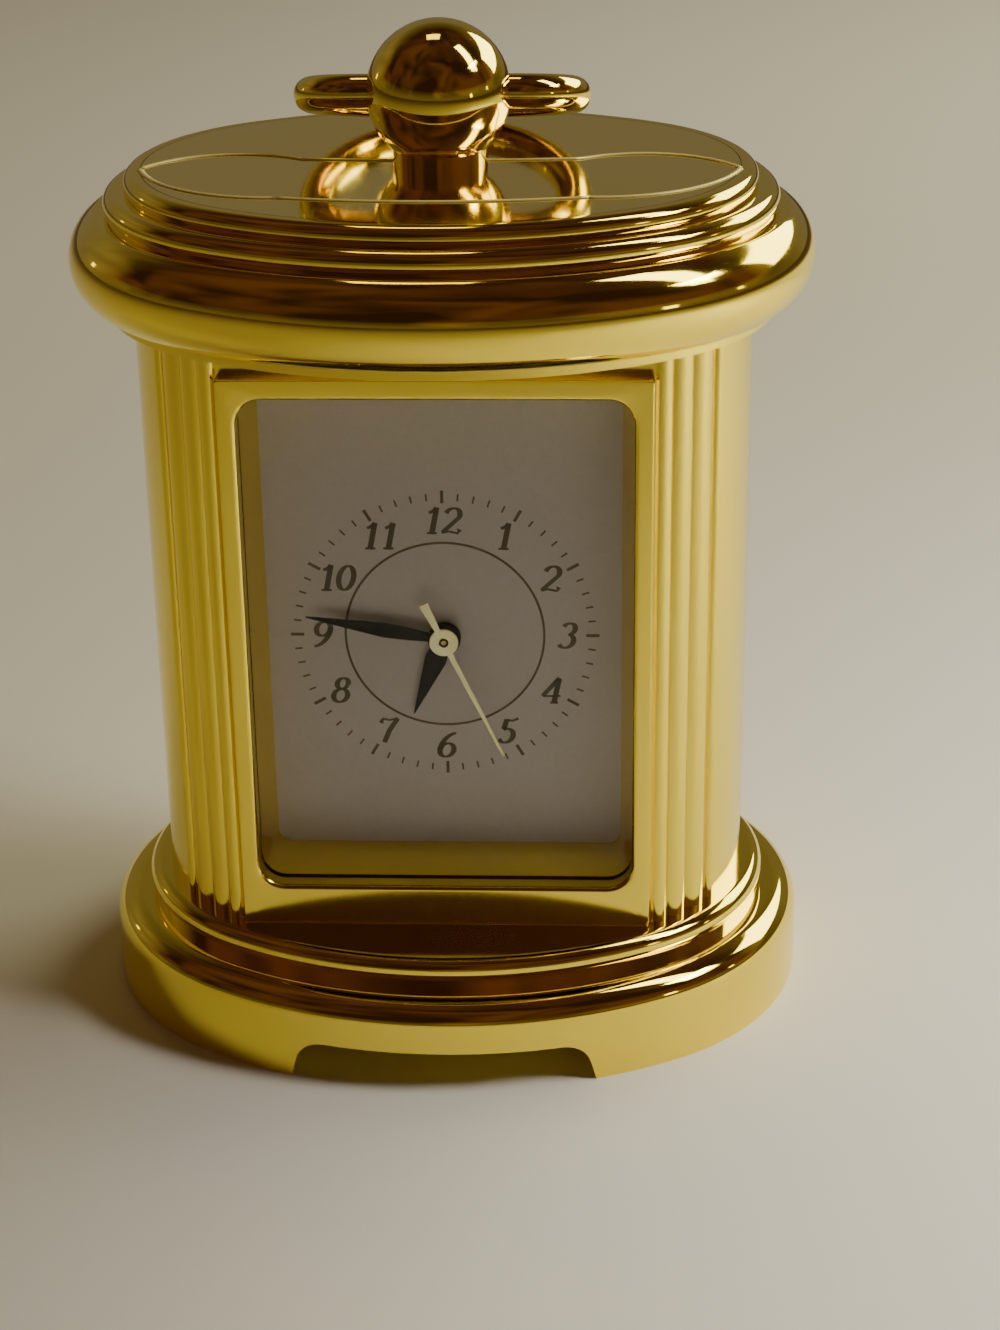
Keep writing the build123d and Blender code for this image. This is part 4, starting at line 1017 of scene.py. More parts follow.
class ClockPanel(bpy.types.Operator):
    """Flat front panel with a rounded window edge"""

    bl_idname = "clock.panel"
    bl_label = "Front panel"

    def execute(self, context):
        sizes, window = context.scene.clock_case, context.scene.clock_window
        low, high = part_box("front_panel")
        mesh = bmesh.new()
        outline = (high.x, low.z, high.z, 2 * sizes.edge)
        inner = quarter_round(window.bevel, low.y, BEVEL_STEPS)
        outer = quarter_round(sizes.edge, low.y, EDGE_STEPS, side=-1)
        fronts, backs = [], []
        for shape, stations in ((opening(window), inner), (outline, outer)):
            first, last = window_wall(mesh, shape, stations + [(0, high.y)])
            fronts += first
            backs += last
        fill(mesh, fronts)
        fill(mesh, backs)
        add_piece("window_panel", mesh, "gilt_satin", ["front_panel"])
        return {"FINISHED"}


def scoop_cutter(sizes, top):
    """Round bar that takes the finger notch out of the cover's upper edge."""
    mesh = bmesh.new()
    depth = OVERRUN * 2
    middle = top + Vector((0, depth / 2 - sizes.scoop_depth, 0))
    turned = UPWARD.rotation_difference(Vector((0, 1, 0))).to_matrix().to_4x4()
    bmesh.ops.create_cone(
        mesh,
        cap_ends=True,
        segments=SCOOP_FACETS,
        radius1=sizes.scoop,
        radius2=sizes.scoop,
        depth=depth,
        matrix=Matrix.Translation(middle) @ turned,
    )
    return mesh


class ClockBackCover(bpy.types.Operator):
    """Lift-off back cover with its rim and finger notch"""

    bl_idname = "clock.back_cover"
    bl_label = "Back cover"

    def execute(self, context):
        sizes = context.scene.clock_case
        low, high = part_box("back_cover")
        inner = high.y - sizes.panel
        mesh = bmesh.new()
        outline = rectangle(mesh, high.x, low.z, high.z, inner)
        thicken(mesh, fill(mesh, outline), (0, sizes.panel, 0))
        mesh = carve(mesh, scoop_cutter(sizes, Vector((0, high.y, high.z))))
        rim = bmesh.new()
        for inset in (sizes.clearance, sizes.clearance + sizes.rim_width):
            rounded_window(rim, *back_opening(sizes, inset), inner)
        thicken(rim, fill(rim, list(rim.edges)), (0, -sizes.rim_depth, 0))
        part = store("rim", rim)
        mesh.from_mesh(part)
        bpy.data.meshes.remove(part)
        add_piece("rear_cover", mesh, "gilt_satin", ["back_cover"], "cover", edge=sizes.edge)
        return {"FINISHED"}


# Window


def pane_back(window):
    """Level at which the crystal ends and the surround starts."""
    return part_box("crystal")[0].y + window.pane


class ClockCrystal(bpy.types.Operator):
    """Thin flat crystal behind the front panel"""

    bl_idname = "clock.crystal"
    bl_label = "Crystal"

    def execute(self, context):
        window = context.scene.clock_window
        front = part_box("crystal")[0].y
        mesh = window_block(*opening(window, window.margin), front, pane_back(window))
        add_piece("crystal_pane", mesh, "crystal_glass", ["crystal"])
        return {"FINISHED"}


class ClockSurround(bpy.types.Operator):
    """Soft-polished surround whose walls narrow towards the dial"""

    bl_idname = "clock.surround"
    bl_label = "Dial surround"

    def execute(self, context):
        window = context.scene.clock_window
        front, back = pane_back(window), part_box("dial")[0].y
        mesh = bmesh.new()
        inner = [(0, front), (-window.taper, back)]
        outer = [(window.margin, back), (window.margin, front)]
        window_wall(mesh, opening(window), inner + outer + inner[:1])
        add_piece("dial_surround", mesh, "gilt_polished", ["dial_frame"], coat="surround")
        return {"FINISHED"}


# Dial print

# Shares of a numeral's height
NUMERAL_THICK_SHARE = 0.2
NUMERAL_THIN_SHARE = 0.075
NUMERAL_WIDTH_SHARE = 0.66
NUMERAL_ADVANCE_SHARE = 0.64
NUMERAL_SLANT_SHARE = 0.2
# How fast a stroke thickens as it turns upright
NUMERAL_CONTRAST = 1.5
STROKE_STEPS = 18
CLOSED_GAP = 0.001
RING_FACETS = 120
PRINT_CREASE = radians(50)


def arc_stroke(x, y, reach_x, reach_y, start, end):
    """Points along an elliptic arc, in shares of a numeral's height."""
    facet = (end - start) / STROKE_STEPS
    angles = [radians(start + facet * step) for step in range(STROKE_STEPS + 1)]
    return [(x + reach_x * cos(angle), y + reach_y * sin(angle)) for angle in angles]


def upside_down(strokes):
    return [[(NUMERAL_WIDTH_SHARE - x, 1 - y) for x, y in points] for points in strokes]


SIX = [arc_stroke(0.62, 0.28, 0.54, 0.7, 97, 180), arc_stroke(0.34, 0.29, 0.25, 0.27, 0, 360)]

NUMERAL_SHARES = {
    "0": [arc_stroke(0.34, 0.5, 0.26, 0.46, 90, 450)],
    "1": [
        [(0.12, 0.8), (0.26, 0.86), (0.36, 0.98)],
        [(0.36, 1.0), (0.36, 0.0)],
        [(0.18, 0.035), (0.54, 0.035)],
    ],
    "2": [
        arc_stroke(0.33, 0.72, 0.25, 0.25, 165, -28) + [(0.08, 0.06)],
        [(0.06, 0.05), (0.3, 0.1), (0.62, 0.03), (0.66, 0.18)],
    ],
    "3": [
        arc_stroke(0.32, 0.75, 0.22, 0.22, 155, -85),
        arc_stroke(0.31, 0.28, 0.26, 0.26, 85, -150),
    ],
    "4": [
        [(0.5, 1.0), (0.04, 0.3)],
        [(0.04, 0.3), (0.68, 0.3)],
        [(0.5, 1.0), (0.5, 0.0)],
        [(0.36, 0.035), (0.64, 0.035)],
    ],
    "5": [
        [(0.2, 0.94), (0.42, 0.9), (0.62, 0.99)],
        [(0.22, 0.95), (0.17, 0.56)],
        arc_stroke(0.3, 0.3, 0.26, 0.28, 122, -150),
    ],
    "6": SIX,
    "7": [
        [(0.06, 0.78), (0.12, 0.95), (0.36, 0.9), (0.64, 0.97)],
        [(0.64, 0.97), (0.42, 0.48), (0.32, 0.0)],
    ],
    "8": [arc_stroke(0.34, 0.75, 0.2, 0.21, 0, 360), arc_stroke(0.34, 0.27, 0.25, 0.26, 0, 360)],
    "9": upside_down(SIX),
}


def draw_stroke(mesh, points, place, height, thickness):
    """Pen stroke that is thick where it runs upright and thin where it runs level."""
    path = [Vector((x + NUMERAL_SLANT_SHARE * y, 0, y)) for x, y in points]
    closed = (path[0] - path[-1]).length < CLOSED_GAP
    edge = None
    faces_before = set(mesh.faces)
    for index, point in enumerate(path):
        ahead = path[min(index + 1, len(path) - 1)]
        behind = path[max(index - 1, 0)]
        if closed and index in (0, len(path) - 1):
            ahead, behind = path[1], path[-2]
        along = (ahead - behind).normalized()
        thickening = (NUMERAL_THICK_SHARE - NUMERAL_THIN_SHARE) * abs(along.z) ** NUMERAL_CONTRAST
        width = NUMERAL_THIN_SHARE + thickening
        across = along.cross(FRONTWARD) * width / 2
        ends = [place + (point + side * across) * height for side in (1, -1)]
        if edge is None:
            verts = [bmesh.ops.create_vert(mesh, co=end)["vert"][0] for end in ends]
            edge = bmesh.ops.contextual_create(mesh, geom=verts)["edges"][0]
        else:
            made = bmesh.ops.extrude_edge_only(mesh, edges=[edge])["geom"]
            edge = only(EDGE, made)[0]
            for vert, end in zip(match_sides(edge.verts, ends), ends):
                vert.co = end
    faces = [face for face in mesh.faces if face not in faces_before]
    if closed:
        verts = list({vert for face in faces for vert in face.verts})
        bmesh.ops.remove_doubles(mesh, verts=verts, dist=MERGE)
    thicken(mesh, faces, (0, -thickness, 0))


def match_sides(verts, ends):
    """The two vertices in the order of the two ends."""
    first, second = verts
    straight = (first.co - ends[0]).length + (second.co - ends[1]).length
    crossed = (first.co - ends[1]).length + (second.co - ends[0]).length
    return (first, second) if straight <= crossed else (second, first)


def draw_numeral(mesh, text, centre, height, thickness):
    """One hour numeral, centred on its place."""
    width = NUMERAL_ADVANCE_SHARE * len(text) + NUMERAL_SLANT_SHARE
    for index, digit in enumerate(text):
        shift = Vector((NUMERAL_ADVANCE_SHARE * index - width / 2, 0, -0.5)) * height
        for points in NUMERAL_SHARES[digit]:
            draw_stroke(mesh, points, centre + shift, height, thickness)


def draw_ring(mesh, centre, radius, width, thickness):
    """Flat printed ring."""
    inner, outer = radius - width / 2, radius + width / 2
    pen = Pen(mesh, centre + Vector((inner, 0, 0)), FRONTWARD)
    pen.line_to(centre + Vector((outer, 0, 0)))
    pen.line_to(centre + Vector((outer, -thickness, 0)))
    pen.line_to(centre + Vector((inner, -thickness, 0)))
    edges = pen.close()
    verts = {vert for edge in edges for vert in edge.verts}
    bmesh.ops.spin(
        mesh,
        geom=list(verts) + edges,
        cent=centre,
        axis=FRONTWARD,
        angle=2 * pi,
        steps=RING_FACETS,
        use_merge=True,
    )


class ClockPrint(bpy.types.Operator):
    """Ring, numerals and minute marks on the dial"""

    bl_idname = "clock.print"
    bl_label = "Dial print"

    def execute(self, context):
        sizes, window = context.scene.clock_print, context.scene.clock_window
        centre = Vector((0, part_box("dial")[0].y, window.dial_centre))
        mesh = bmesh.new()
        draw_ring(mesh, centre, sizes.ring_radius, sizes.ring_width, sizes.thickness)
        for hour in range(1, 13):
            angle = radians(30 * hour)
            place = Vector((sin(angle), 0, cos(angle))) * sizes.numeral_radius
            draw_numeral(mesh, str(hour), centre + place, sizes.numeral_height, sizes.thickness)
        for minute in range(60):
            long_mark = minute % 5 == 0
            width = sizes.hour_mark_width if long_mark else sizes.mark_width
            run = sizes.hour_mark_length if long_mark else sizes.mark_length
            angle = radians(6 * minute)
            middle = centre + Vector((sin(angle), 0, cos(angle))) * sizes.track_radius
            middle.y -= sizes.thickness / 2
            matrix = Matrix.Translation(middle) @ Matrix.Rotation(angle, 4, "Y")
            matrix @= Matrix.Diagonal((width, sizes.thickness, run, 1))
            bmesh.ops.create_cube(mesh, size=1, matrix=matrix)
        add_piece("dial_print", mesh, "dial_lacquer", coat="ink", crease=PRINT_CREASE)
        return {"FINISHED"}


# Cap

# Facets across each round
BULLNOSE_STEPS = 40
CORNICE_STEPS = 22
RELIEF_STEPS = 40


class ClockCap(bpy.types.Operator):
    """Lip and bullnose"""

    bl_idname = "clock.cap"
    bl_label = "Bullnose cap"

    def execute(self, context):
        sizes = context.scene.clock_cap
        bottom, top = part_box("case_body")[1].z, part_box("cap_moulding")[1].z
        lip_top = bottom + sizes.lip_height
        radius, height = sizes.nose_radius, sizes.nose_height
        under, over = asin((lip_top - height) / radius), asin((top - height) / radius)
        mesh = moulding(
            context,
            bottom,
            top,
            (sizes.lip_reach, bottom),
            (sizes.lip_reach, lip_top),
            (sizes.lip_reach - sizes.lip_quirk, lip_top),
            (sizes.nose_reach - radius, height, radius, under, over, BULLNOSE_STEPS),
        )
        add_piece("bullnose_cap", mesh, "gilt_polished", ["cap_moulding"])
        return {"FINISHED"}


class ClockCornice(bpy.types.Operator):
    """Two rolls that frame the top plate"""

    bl_idname = "clock.cornice"
    bl_label = "Cornice"

    def execute(self, context):
        sizes = context.scene.clock_cap
        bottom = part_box("cap_moulding")[1].z
        seat, top = (corner.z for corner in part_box("top_plate"))
        low, high = sizes.low_radius, sizes.high_radius
        start_low = -acos((low - sizes.quirk) / low)
        start_high = asin((sizes.low_height + low - top + high) / high)
        mesh = moulding(
            context,
            bottom,
            seat,
            (sizes.low_reach - sizes.quirk, bottom),
            (sizes.low_reach - low, sizes.low_height, low, start_low, pi / 2, CORNICE_STEPS),
            (sizes.high_reach - high, top - high, high, start_high, pi / 2, CORNICE_STEPS),
            (-sizes.plate_inset, top),
            (-sizes.plate_inset, seat),
        )
        add_piece("cornice_rolls", mesh, "gilt_polished", ["cornice"])
        return {"FINISHED"}


# Raised lines of the plate: start, middle and end of each arc, as shares of the plate's half sizes
RELIEF_SHARES = (
    ((0.995, -0.1), (0.79, 0.125), (0.47, 0.06)),
    ((-0.47, 0.06), (-0.79, 0.125), (-0.995, -0.1)),
    ((0.47, 0.06), (0.0, 0.035), (-0.47, 0.06)),
    ((0.995, -0.12), (0.83, -0.46), (0.5, -0.6)),
    ((-0.5, -0.6), (-0.83, -0.46), (-0.995, -0.12)),
    ((0.5, -0.6), (0.0, -0.67), (-0.5, -0.6)),
)


def draw_relief(mesh, points, width, height):
    """Low ridge along an arc, tapered to nothing at its ends."""
    start, middle, end = points
    centre = circle_centre(start, middle, end)
    angle = (start - centre).angle(end - centre)
    if (middle - start).cross(end - middle).z < 0:
        angle = -angle
    outward = (start - centre).normalized()
    pen = Pen(mesh, start - outward * width / 2, UPWARD)
    pen.line_to(start + UPWARD * height)
    pen.line_to(start + outward * width / 2)
    edges = pen.close()
    verts = {vert for edge in edges for vert in edge.verts}
    made = bmesh.ops.spin(
        mesh, geom=list(verts) + edges, cent=centre, axis=UPWARD, angle=angle, steps=RELIEF_STEPS
    )
    for rim in (edges, only(EDGE, made["geom_last"])):
        bmesh.ops.edgeloop_fill(mesh, edges=rim)


class ClockPlate(bpy.types.Operator):
    """Polished plate let into the cornice, with fine raised lines"""

    bl_idname = "clock.plate"
    bl_label = "Top plate"

    def execute(self, context):
        sizes = context.scene.clock_cap
        low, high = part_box("top_plate")
        edge = -sizes.plate_inset - sizes.plate_gap
        mesh = moulding(context, low.z, high.z, (edge, low.z), (edge, high.z))
        add_piece("top_plate_sheet", mesh, "gilt_polished", ["top_plate"], coat="plate")
        relief = bmesh.new()
        for arc in RELIEF_SHARES:
            points = [Vector((x * high.x, y * high.y, high.z)) for x, y in arc]
            draw_relief(relief, points, sizes.relief_width, sizes.relief_height)
        # The raised lines wear the pale painted-highlight colour
        add_piece("plate_lines", relief, "gilt_polished", coat="plate_line", crease=pi)
        return {"FINISHED"}


# Finial and bow

BALL_FACETS = 96
BALL_STEPS = 44
WIRE_FACETS = 40
BEND_STEPS = 24
ROUND_STEPS = 72


class ClockFinial(bpy.types.Operator):
    """Ball on its neck"""

    bl_idname = "clock.finial"
    bl_label = "Ball finial"

    def execute(self, context):
        sizes = context.scene.clock_finial
        plate_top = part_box("top_plate")[1].z
        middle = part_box("finial")[1].z - sizes.ball_radius
        start = -acos(sizes.neck_radius / sizes.ball_radius)
        mesh = bmesh.new()
        pen = Pen(mesh, (0, 0, plate_top), FRONTWARD)
        pen.line_to((sizes.neck_radius, 0, plate_top))
        pen.line_to((sizes.neck_radius, 0, middle + sizes.ball_radius * sin(start)))
        pen.arc((0, 0, middle), pi / 2 - start, BALL_STEPS)
        bmesh.ops.spin(
            mesh,
            geom=whole(mesh),
            cent=(0, 0, 0),
            axis=UPWARD,
            angle=2 * pi,
            steps=BALL_FACETS,
            use_merge=True,
        )
        add_piece("ball_finial", mesh, "gilt_polished", ["finial"])
        return {"FINISHED"}


class ClockBow(bpy.types.Operator):
    """Wire bow that turns in the ball and lies back on the plate"""

    bl_idname = "clock.bow"
    bl_label = "Wire bow"

    def execute(self, context):
        sizes = context.scene.clock_finial
        plate_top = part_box("top_plate")[1].z
        axis_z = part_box("finial")[1].z - sizes.ball_radius
        inner = sizes.bow_radius - sizes.bow_bend
        rise = sizes.bow_centre - sizes.bow_bend
        bend_x = sqrt(inner**2 - rise**2)
        lean = atan2(rise, bend_x)
        mesh = bmesh.new()
        pin = (bend_x - sizes.pin_start, 0, 0)
        bmesh.ops.create_circle(
            mesh,
            segments=WIRE_FACETS,
            radius=sizes.wire_radius,
            matrix=Matrix.Translation((sizes.pin_start, 0, 0)) @ Matrix.Rotation(pi / 2, 4, "Y"),
        )
        ring = bmesh.ops.extrude_edge_only(mesh, edges=list(mesh.edges))["geom"]
        bmesh.ops.translate(mesh, verts=only(VERT, ring), vec=pin)
        arcs = (
            ((bend_x, sizes.bow_bend, 0), pi / 2 - lean, BEND_STEPS),
            ((0, sizes.bow_centre, 0), pi + 2 * lean, ROUND_STEPS),
            ((-bend_x, sizes.bow_bend, 0), pi / 2 - lean, BEND_STEPS),
        )
        ring = carry(mesh, only((VERT, EDGE), ring), arcs)
        made = bmesh.ops.extrude_edge_only(mesh, edges=only(EDGE, ring))["geom"]
        bmesh.ops.translate(mesh, verts=only(VERT, made), vec=pin)
        bmesh.ops.remove_doubles(mesh, verts=mesh.verts, dist=MERGE)
        close_holes(mesh)
        fall = axis_z - plate_top - sizes.wire_radius - sizes.rest_gap
        slope = asin(fall / (sizes.bow_centre + sizes.bow_radius))
        matrix = Matrix.Translation((0, 0, axis_z)) @ Matrix.Rotation(-slope, 4, "X")
        bmesh.ops.transform(mesh, verts=mesh.verts, matrix=matrix)
        add_piece("wire_bow", mesh, "gilt_polished", ["bow"], "bow")
        return {"FINISHED"}


# Hands

# Sizes that each of the two black hands has
LEAF_KEYS = ("length", "width", "root", "widest", "angle")
# Half widths of a leaf halfway to its tip and at its tip, and how far its root bows out
LEAF_TAPER_SHARE = 0.27
LEAF_TIP_SHARE = 0.03
LEAF_SWELL_SHARE = 0.03
ROOT_STEPS = 8
LEAF_STEPS = 12
HUB_STEPS = 40
EYE_STEPS = 32


def turn_hand(mesh, node, angle, window):
    """Turn a hand clockwise from twelve and put it on the dial's axis, where its node stands."""
    centre = (0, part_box(node)[1].y, window.dial_centre)
    matrix = Matrix.Translation(centre) @ Matrix.Rotation(angle, 4, "Y")
    bmesh.ops.transform(mesh, verts=mesh.verts, matrix=matrix)


def draw_leaf(sizes, reach, width, root, widest_share):
    """Leaf-shaped hand that points at twelve, with a round hub."""
    mesh = bmesh.new()
    side = root / 2
    foot = sqrt(sizes.hub**2 - side**2)
    open_angle = 2 * asin(side / sizes.hub)
    pen = Pen(mesh, (side, 0, foot), FRONTWARD)
    widest = foot + (reach - foot) * widest_share
    swell = Vector(((side + width / 2) / 2 + LEAF_SWELL_SHARE * width, 0, (foot + widest) / 2))
    taper = Vector((LEAF_TAPER_SHARE * width, 0, (widest + reach) / 2))
    tip = LEAF_TIP_SHARE * width
    flip = Vector((-1, 1, 1))
    pen.arc_through(swell, (width / 2, 0, widest), ROOT_STEPS)
    pen.arc_through(taper, (tip, 0, reach), LEAF_STEPS)
    pen.line_to((-tip, 0, reach))
    pen.arc_through(taper * flip, (-width / 2, 0, widest), LEAF_STEPS)
    pen.arc_through(swell * flip, (-side, 0, foot), ROOT_STEPS)
    pen.arc((0, 0, 0), 2 * pi - open_angle, HUB_STEPS)
    thicken(mesh, fill(mesh, pen.close()), (0, -sizes.thickness, 0))
    return mesh


def draw_sweep(sizes):
    """Second hand: needle, tail and hub drawn as one outline."""
    mesh = bmesh.new()
    root, tip, tail = sizes.second_root / 2, sizes.second_tip / 2, sizes.tail_width / 2
    foot = sqrt(sizes.second_hub**2 - root**2)
    side = pi - 2 * asin(root / sizes.second_hub)
    pen = Pen(mesh, (root, 0, foot), FRONTWARD)
    pen.line_to((tip, 0, sizes.second_length))
    pen.line_to((-tip, 0, sizes.second_length))
    pen.line_to((-root, 0, foot))
    pen.arc((0, 0, 0), side, HUB_STEPS // 2)
    pen.line_to((-tail, 0, -sizes.second_tail))
    pen.line_to((tail, 0, -sizes.second_tail))
    pen.line_to((root, 0, -foot))
    pen.arc((0, 0, 0), side, HUB_STEPS // 2)
    edges = pen.close()
    eye = Pen(mesh, (sizes.eye, 0, 0), FRONTWARD)
    eye.arc((0, 0, 0), 2 * pi, EYE_STEPS)
    thicken(mesh, fill(mesh, edges + eye.close()), (0, -sizes.thickness, 0))
    return mesh


class ClockHands(bpy.types.Operator):
    """Two black leaf hands and the pale second hand"""

    bl_idname = "clock.hands"
    bl_label = "Hands"

    def execute(self, context):
        sizes, window = context.scene.clock_hands, context.scene.clock_window
        for body in ("hour", "minute"):
            *shape, angle = (getattr(sizes, f"{body}_{key}") for key in LEAF_KEYS)
            node = f"{body}_hand"
            mesh = draw_leaf(sizes, *shape)
            turn_hand(mesh, node, angle, window)
            add_piece(f"{node}_leaf", mesh, "hand_black", [node], body, edge=sizes.edge)
        node = "second_hand"
        mesh = draw_sweep(sizes)
        turn_hand(mesh, node, sizes.second_angle, window)
        add_piece(f"{node}_sweep", mesh, "hand_pale", [node], "second", edge=sizes.edge / 2)
        return {"FINISHED"}


# Movement

TURN_FACETS = 16
COIL_WIRE_FACETS = 6


class ClockMovement(bpy.types.Operator):
    """Wound coil of the movement"""

    bl_idname = "clock.movement"
    bl_label = "Movement"

    def execute(self, context):
        sizes = context.scene.clock_movement
        low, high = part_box("coil")
        centre = (low + high) / 2
        radius = sizes.coil_radius - sizes.wire
        pitch = 2 * sizes.wire
        turns = int((high.x - low.x - 2 * sizes.wire) / pitch)
        mesh = bmesh.new()
        start = Vector((low.x + sizes.wire, centre.y, centre.z + radius))
        bmesh.ops.create_circle(
            mesh,
            segments=COIL_WIRE_FACETS,
            radius=sizes.wire,
            matrix=Matrix.Translation(start) @ Matrix.Rotation(pi / 2, 4, "X"),
        )
        bmesh.ops.spin(
            mesh,
            geom=whole(mesh),
            cent=centre,
            axis=RIGHTWARD,
            dvec=(pitch / TURN_FACETS, 0, 0),
            angle=2 * pi * turns,
            steps=TURN_FACETS * turns,
        )
        close_holes(mesh)
        add_piece("coil_winding", mesh, "coil_copper", ["coil"], crease=pi)
        return {"FINISHED"}


class ClockFinishes(bpy.types.Operator):
    """Give every remaining piece of the clock its finish"""

    bl_idname = "clock.finishes"
    bl_label = "Finishes"

    def execute(self, context):
        slots = {item["node"]: item["material_slot"] for item in frame["record"]["subparts"]}
        for name, node in frame["nodes"].items():
            node.data.materials.clear()
            node.data.materials.append(finish(slots[name]))
        return {"FINISHED"}


# Stage

FOCAL_PIXELS = 2782.1
IMAGE_HEIGHT = 1330
SENSOR = 36.0
CAMERA_PITCH = 0.4349
CAMERA_ROLL = -0.0144
CAMERA_YAW = 0.0475
CAMERA_CLIP = (0.01, 100)
CAMERA_PLACE = Vector((11.8314, -177.2409, 105.2243)) * MM

# Seen from the ball: direction, direction of the long side, long and short side as shares of the
# distance, radiance, colour
LAMPS = {
    "window_near": ((0.64, -0.06, 0.77), (0.47, -0.32, -0.42), (0.72, 0.18), 8.0, (1.0, 0.96, 0.8)),
    "window_far": ((0.66, 0.6, 0.43), (0.7, -0.7, 0.0), (0.74, 0.4), 7.0, (1.0, 0.97, 0.66)),
    "ceiling_lamp": ((-0.1, 0.3, 0.95), (1.0, 0.0, 0.0), (0.24, 0.2), 3.6, (1.0, 0.74, 0.03)),
    "spot_front": ((0.82, -0.57, 0.05), (0.0, 0.0, 1.0), (0.08, 0.06), 5.0, (1.0, 0.85, 0.2)),
    "spot_right": ((0.99, -0.06, 0.1), (0.0, 0.0, 1.0), (0.06, 0.05), 4.0, (1.0, 0.85, 0.2)),
    "spot_left": ((-0.87, 0.47, 0.11), (0.0, 0.0, 1.0), (0.07, 0.05), 3.0, (1.0, 0.75, 0.15)),
}
TABLE_LIGHT_COLOUR = (1.0, 0.95, 0.84)
FLOOR_FACETS = 64
ROOM_STRENGTH = 0.88
CLUTTER_STRENGTH = 2.6


def area_light(name, colour):
    """Area light that the camera doesn't see."""
    lamp = add_object(name, bpy.data.lights.new(name, "AREA"))
    lamp.data.color = colour
    lamp.visible_camera = False
    return lamp


def add_table_light(settings):
    """Soft light on the floor to the right, too narrow to reach the clock."""
    lamp = area_light("table_light", TABLE_LIGHT_COLOUR)
    lamp.data.size = settings.table_size
    lamp.data.energy = settings.table_power
    lamp.data.spread = settings.table_spread
    source, target = Vector(settings.table_place), Vector(settings.table_target)
    lamp.location = source
    lamp.rotation_euler = (source - target).to_track_quat("Z", "Y").to_euler()


def add_lamp(name, direction, side, size, radiance, colour, distance, target):
    """Rectangular lamp that faces a target from a direction."""
    lamp = area_light(name, colour)
    data = lamp.data
    data.shape = "RECTANGLE"
    data.size, data.size_y = size[0] * distance, size[1] * distance
    data.energy = radiance * pi * data.size * data.size_y
    toward = Vector(direction).normalized()
    short = toward.cross(Vector(side)).normalized()
    matrix = Matrix((short.cross(toward), short, toward)).transposed().to_4x4()
    matrix.translation = target + toward * distance
    lamp.matrix_world = matrix


def add_floor(settings):
    mesh = bmesh.new()
    bmesh.ops.create_circle(
        mesh, cap_ends=True, segments=FLOOR_FACETS, radius=settings.floor_radius
    )
    floor = add_object("floor", store("floor", mesh))
    shader = Shader("pale_floor")
    cloud = shader.noise(9, detail=3.0)
    darker = brighter(settings.floor, 0.96)
    shade = shader.blend(cloud, tuple(settings.floor), darker)
    floor.data.materials.append(shader.surface(Base_Color=shade, Roughness=0.6))


def add_world(settings):
    """Dim room: a paler wall behind the clock, pale things low in front, bright clutter above."""
    world = bpy.data.worlds.new("room")
    bpy.context.scene.world = world
    shader = Shader("room", world)
    way = shader.node("ShaderNodeTexCoord", output="Generated")
    away = shader.node("ShaderNodeSeparateXYZ", None, {0: way}, "Y")
    height = shader.node("ShaderNodeSeparateXYZ", None, {0: way}, "Z")
    behind = shader.ramp(away, (0.15, 0.0), (0.75, 1.0))
    low = shader.ramp(height, (0.45, 1.0), (0.8, 0.0))
    shade = shader.blend(behind * low, tuple(settings.room), tuple(settings.wall))
    near_floor = shader.ramp(height, (0.04, 1.0), (0.24, 0.0)) * (1 - behind)
    shade = shader.blend(near_floor, shade, tuple(settings.front))
    clutter = shader.noise(1.9, detail=1.5, distortion=0.6, place=way)
    clutter = shader.ramp(clutter, (0.42, 0.0), (0.66, 1.0))
    strength = ROOM_STRENGTH + CLUTTER_STRENGTH * clutter * (1 - near_floor) * (1 - behind)
    light = shader.node("ShaderNodeBackground", None, {"Color": shade, "Strength": strength})
    shader.node("ShaderNodeOutputWorld", None, {"Surface": light})


def add_camera():
    data = bpy.data.cameras.new("camera")
    data.sensor_width = SENSOR
    data.lens = FOCAL_PIXELS * SENSOR / IMAGE_HEIGHT
    data.clip_start, data.clip_end = CAMERA_CLIP
    camera = add_object("camera", data)
    yaw = Matrix.Rotation(CAMERA_YAW, 3, "Z")
    ahead = yaw @ Vector((0, cos(CAMERA_PITCH), -sin(CAMERA_PITCH)))
    right = yaw @ Vector((1, 0, 0))
    above = yaw @ Vector((0, sin(CAMERA_PITCH), cos(CAMERA_PITCH)))
    across = cos(CAMERA_ROLL) * right + sin(CAMERA_ROLL) * above
    upward = -sin(CAMERA_ROLL) * right + cos(CAMERA_ROLL) * above
    matrix = Matrix((across, upward, -ahead)).transposed().to_4x4()
    matrix.translation = CAMERA_PLACE
    camera.matrix_world = matrix
    bpy.context.scene.camera = camera


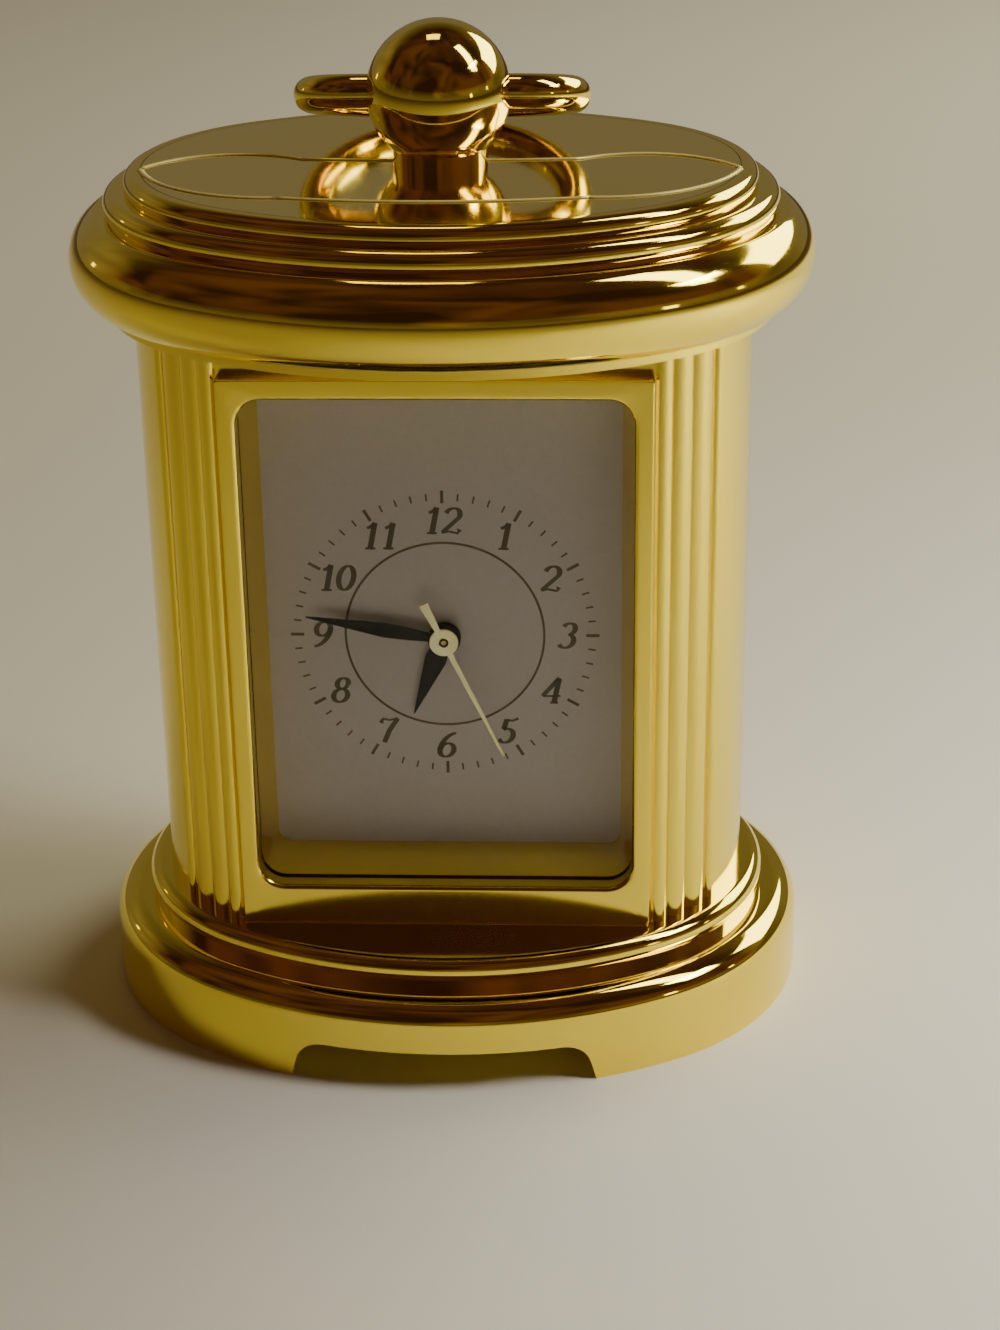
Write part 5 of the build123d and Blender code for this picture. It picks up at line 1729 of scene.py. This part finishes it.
class ClockStage(bpy.types.Operator):
    """Floor, room light, lamps and camera"""

    bl_idname = "clock.stage"
    bl_label = "Stage"

    def execute(self, context):
        settings = context.scene.clock_stage
        ball = Vector((0, 0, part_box("finial")[1].z - context.scene.clock_finial.ball_radius))
        add_floor(settings)
        add_world(settings)
        for name, values in LAMPS.items():
            add_lamp(name, *values, settings.distance, ball)
        add_table_light(settings)
        add_camera()
        return {"FINISHED"}


# Panel and registration

STEPS = (
    ClockFinishes,
    ClockPlinth,
    ClockBaseRoll,
    ClockCase,
    ClockPanel,
    ClockBackCover,
    ClockCrystal,
    ClockSurround,
    ClockPrint,
    ClockCap,
    ClockCornice,
    ClockPlate,
    ClockFinial,
    ClockBow,
    ClockHands,
    ClockMovement,
    ClockStage,
)

GROUPS = {
    "clock_oval": OvalSizes,
    "clock_base": BaseSizes,
    "clock_case": CaseSizes,
    "clock_window": WindowSizes,
    "clock_print": PrintSizes,
    "clock_cap": CapSizes,
    "clock_finial": FinialSizes,
    "clock_hands": HandSizes,
    "clock_movement": MovementSizes,
    "clock_finish": FinishColours,
    "clock_stage": StageSettings,
}


class CLOCK_PT_pieces(bpy.types.Panel):
    """Lists the clock's pieces, with their sizes and colours"""

    bl_label = "Pendulette clock"
    bl_space_type = "VIEW_3D"
    bl_region_type = "UI"
    bl_category = "Clock"

    def draw(self, context):
        for step in STEPS:
            self.layout.operator(step.bl_idname, text=step.bl_label)
        for name, group in GROUPS.items():
            section = self.layout.box()
            section.label(text=group.__doc__)
            for key in group.__annotations__:
                section.prop(getattr(context.scene, name), key)


def register():
    for group in GROUPS.values():
        bpy.utils.register_class(group)
    for step in STEPS:
        bpy.utils.register_class(step)
    bpy.utils.register_class(CLOCK_PT_pieces)
    for name, group in GROUPS.items():
        setattr(bpy.types.Scene, name, PointerProperty(type=group))


def unregister():
    for name in GROUPS:
        delattr(bpy.types.Scene, name)
    bpy.utils.unregister_class(CLOCK_PT_pieces)
    for item in reversed((*GROUPS.values(), *STEPS)):
        bpy.utils.unregister_class(item)


def main():
    register()
    for step in STEPS:
        group, name = step.bl_idname.split(".")
        getattr(getattr(bpy.ops, group), name)()


if __name__ == "__main__":
    main()
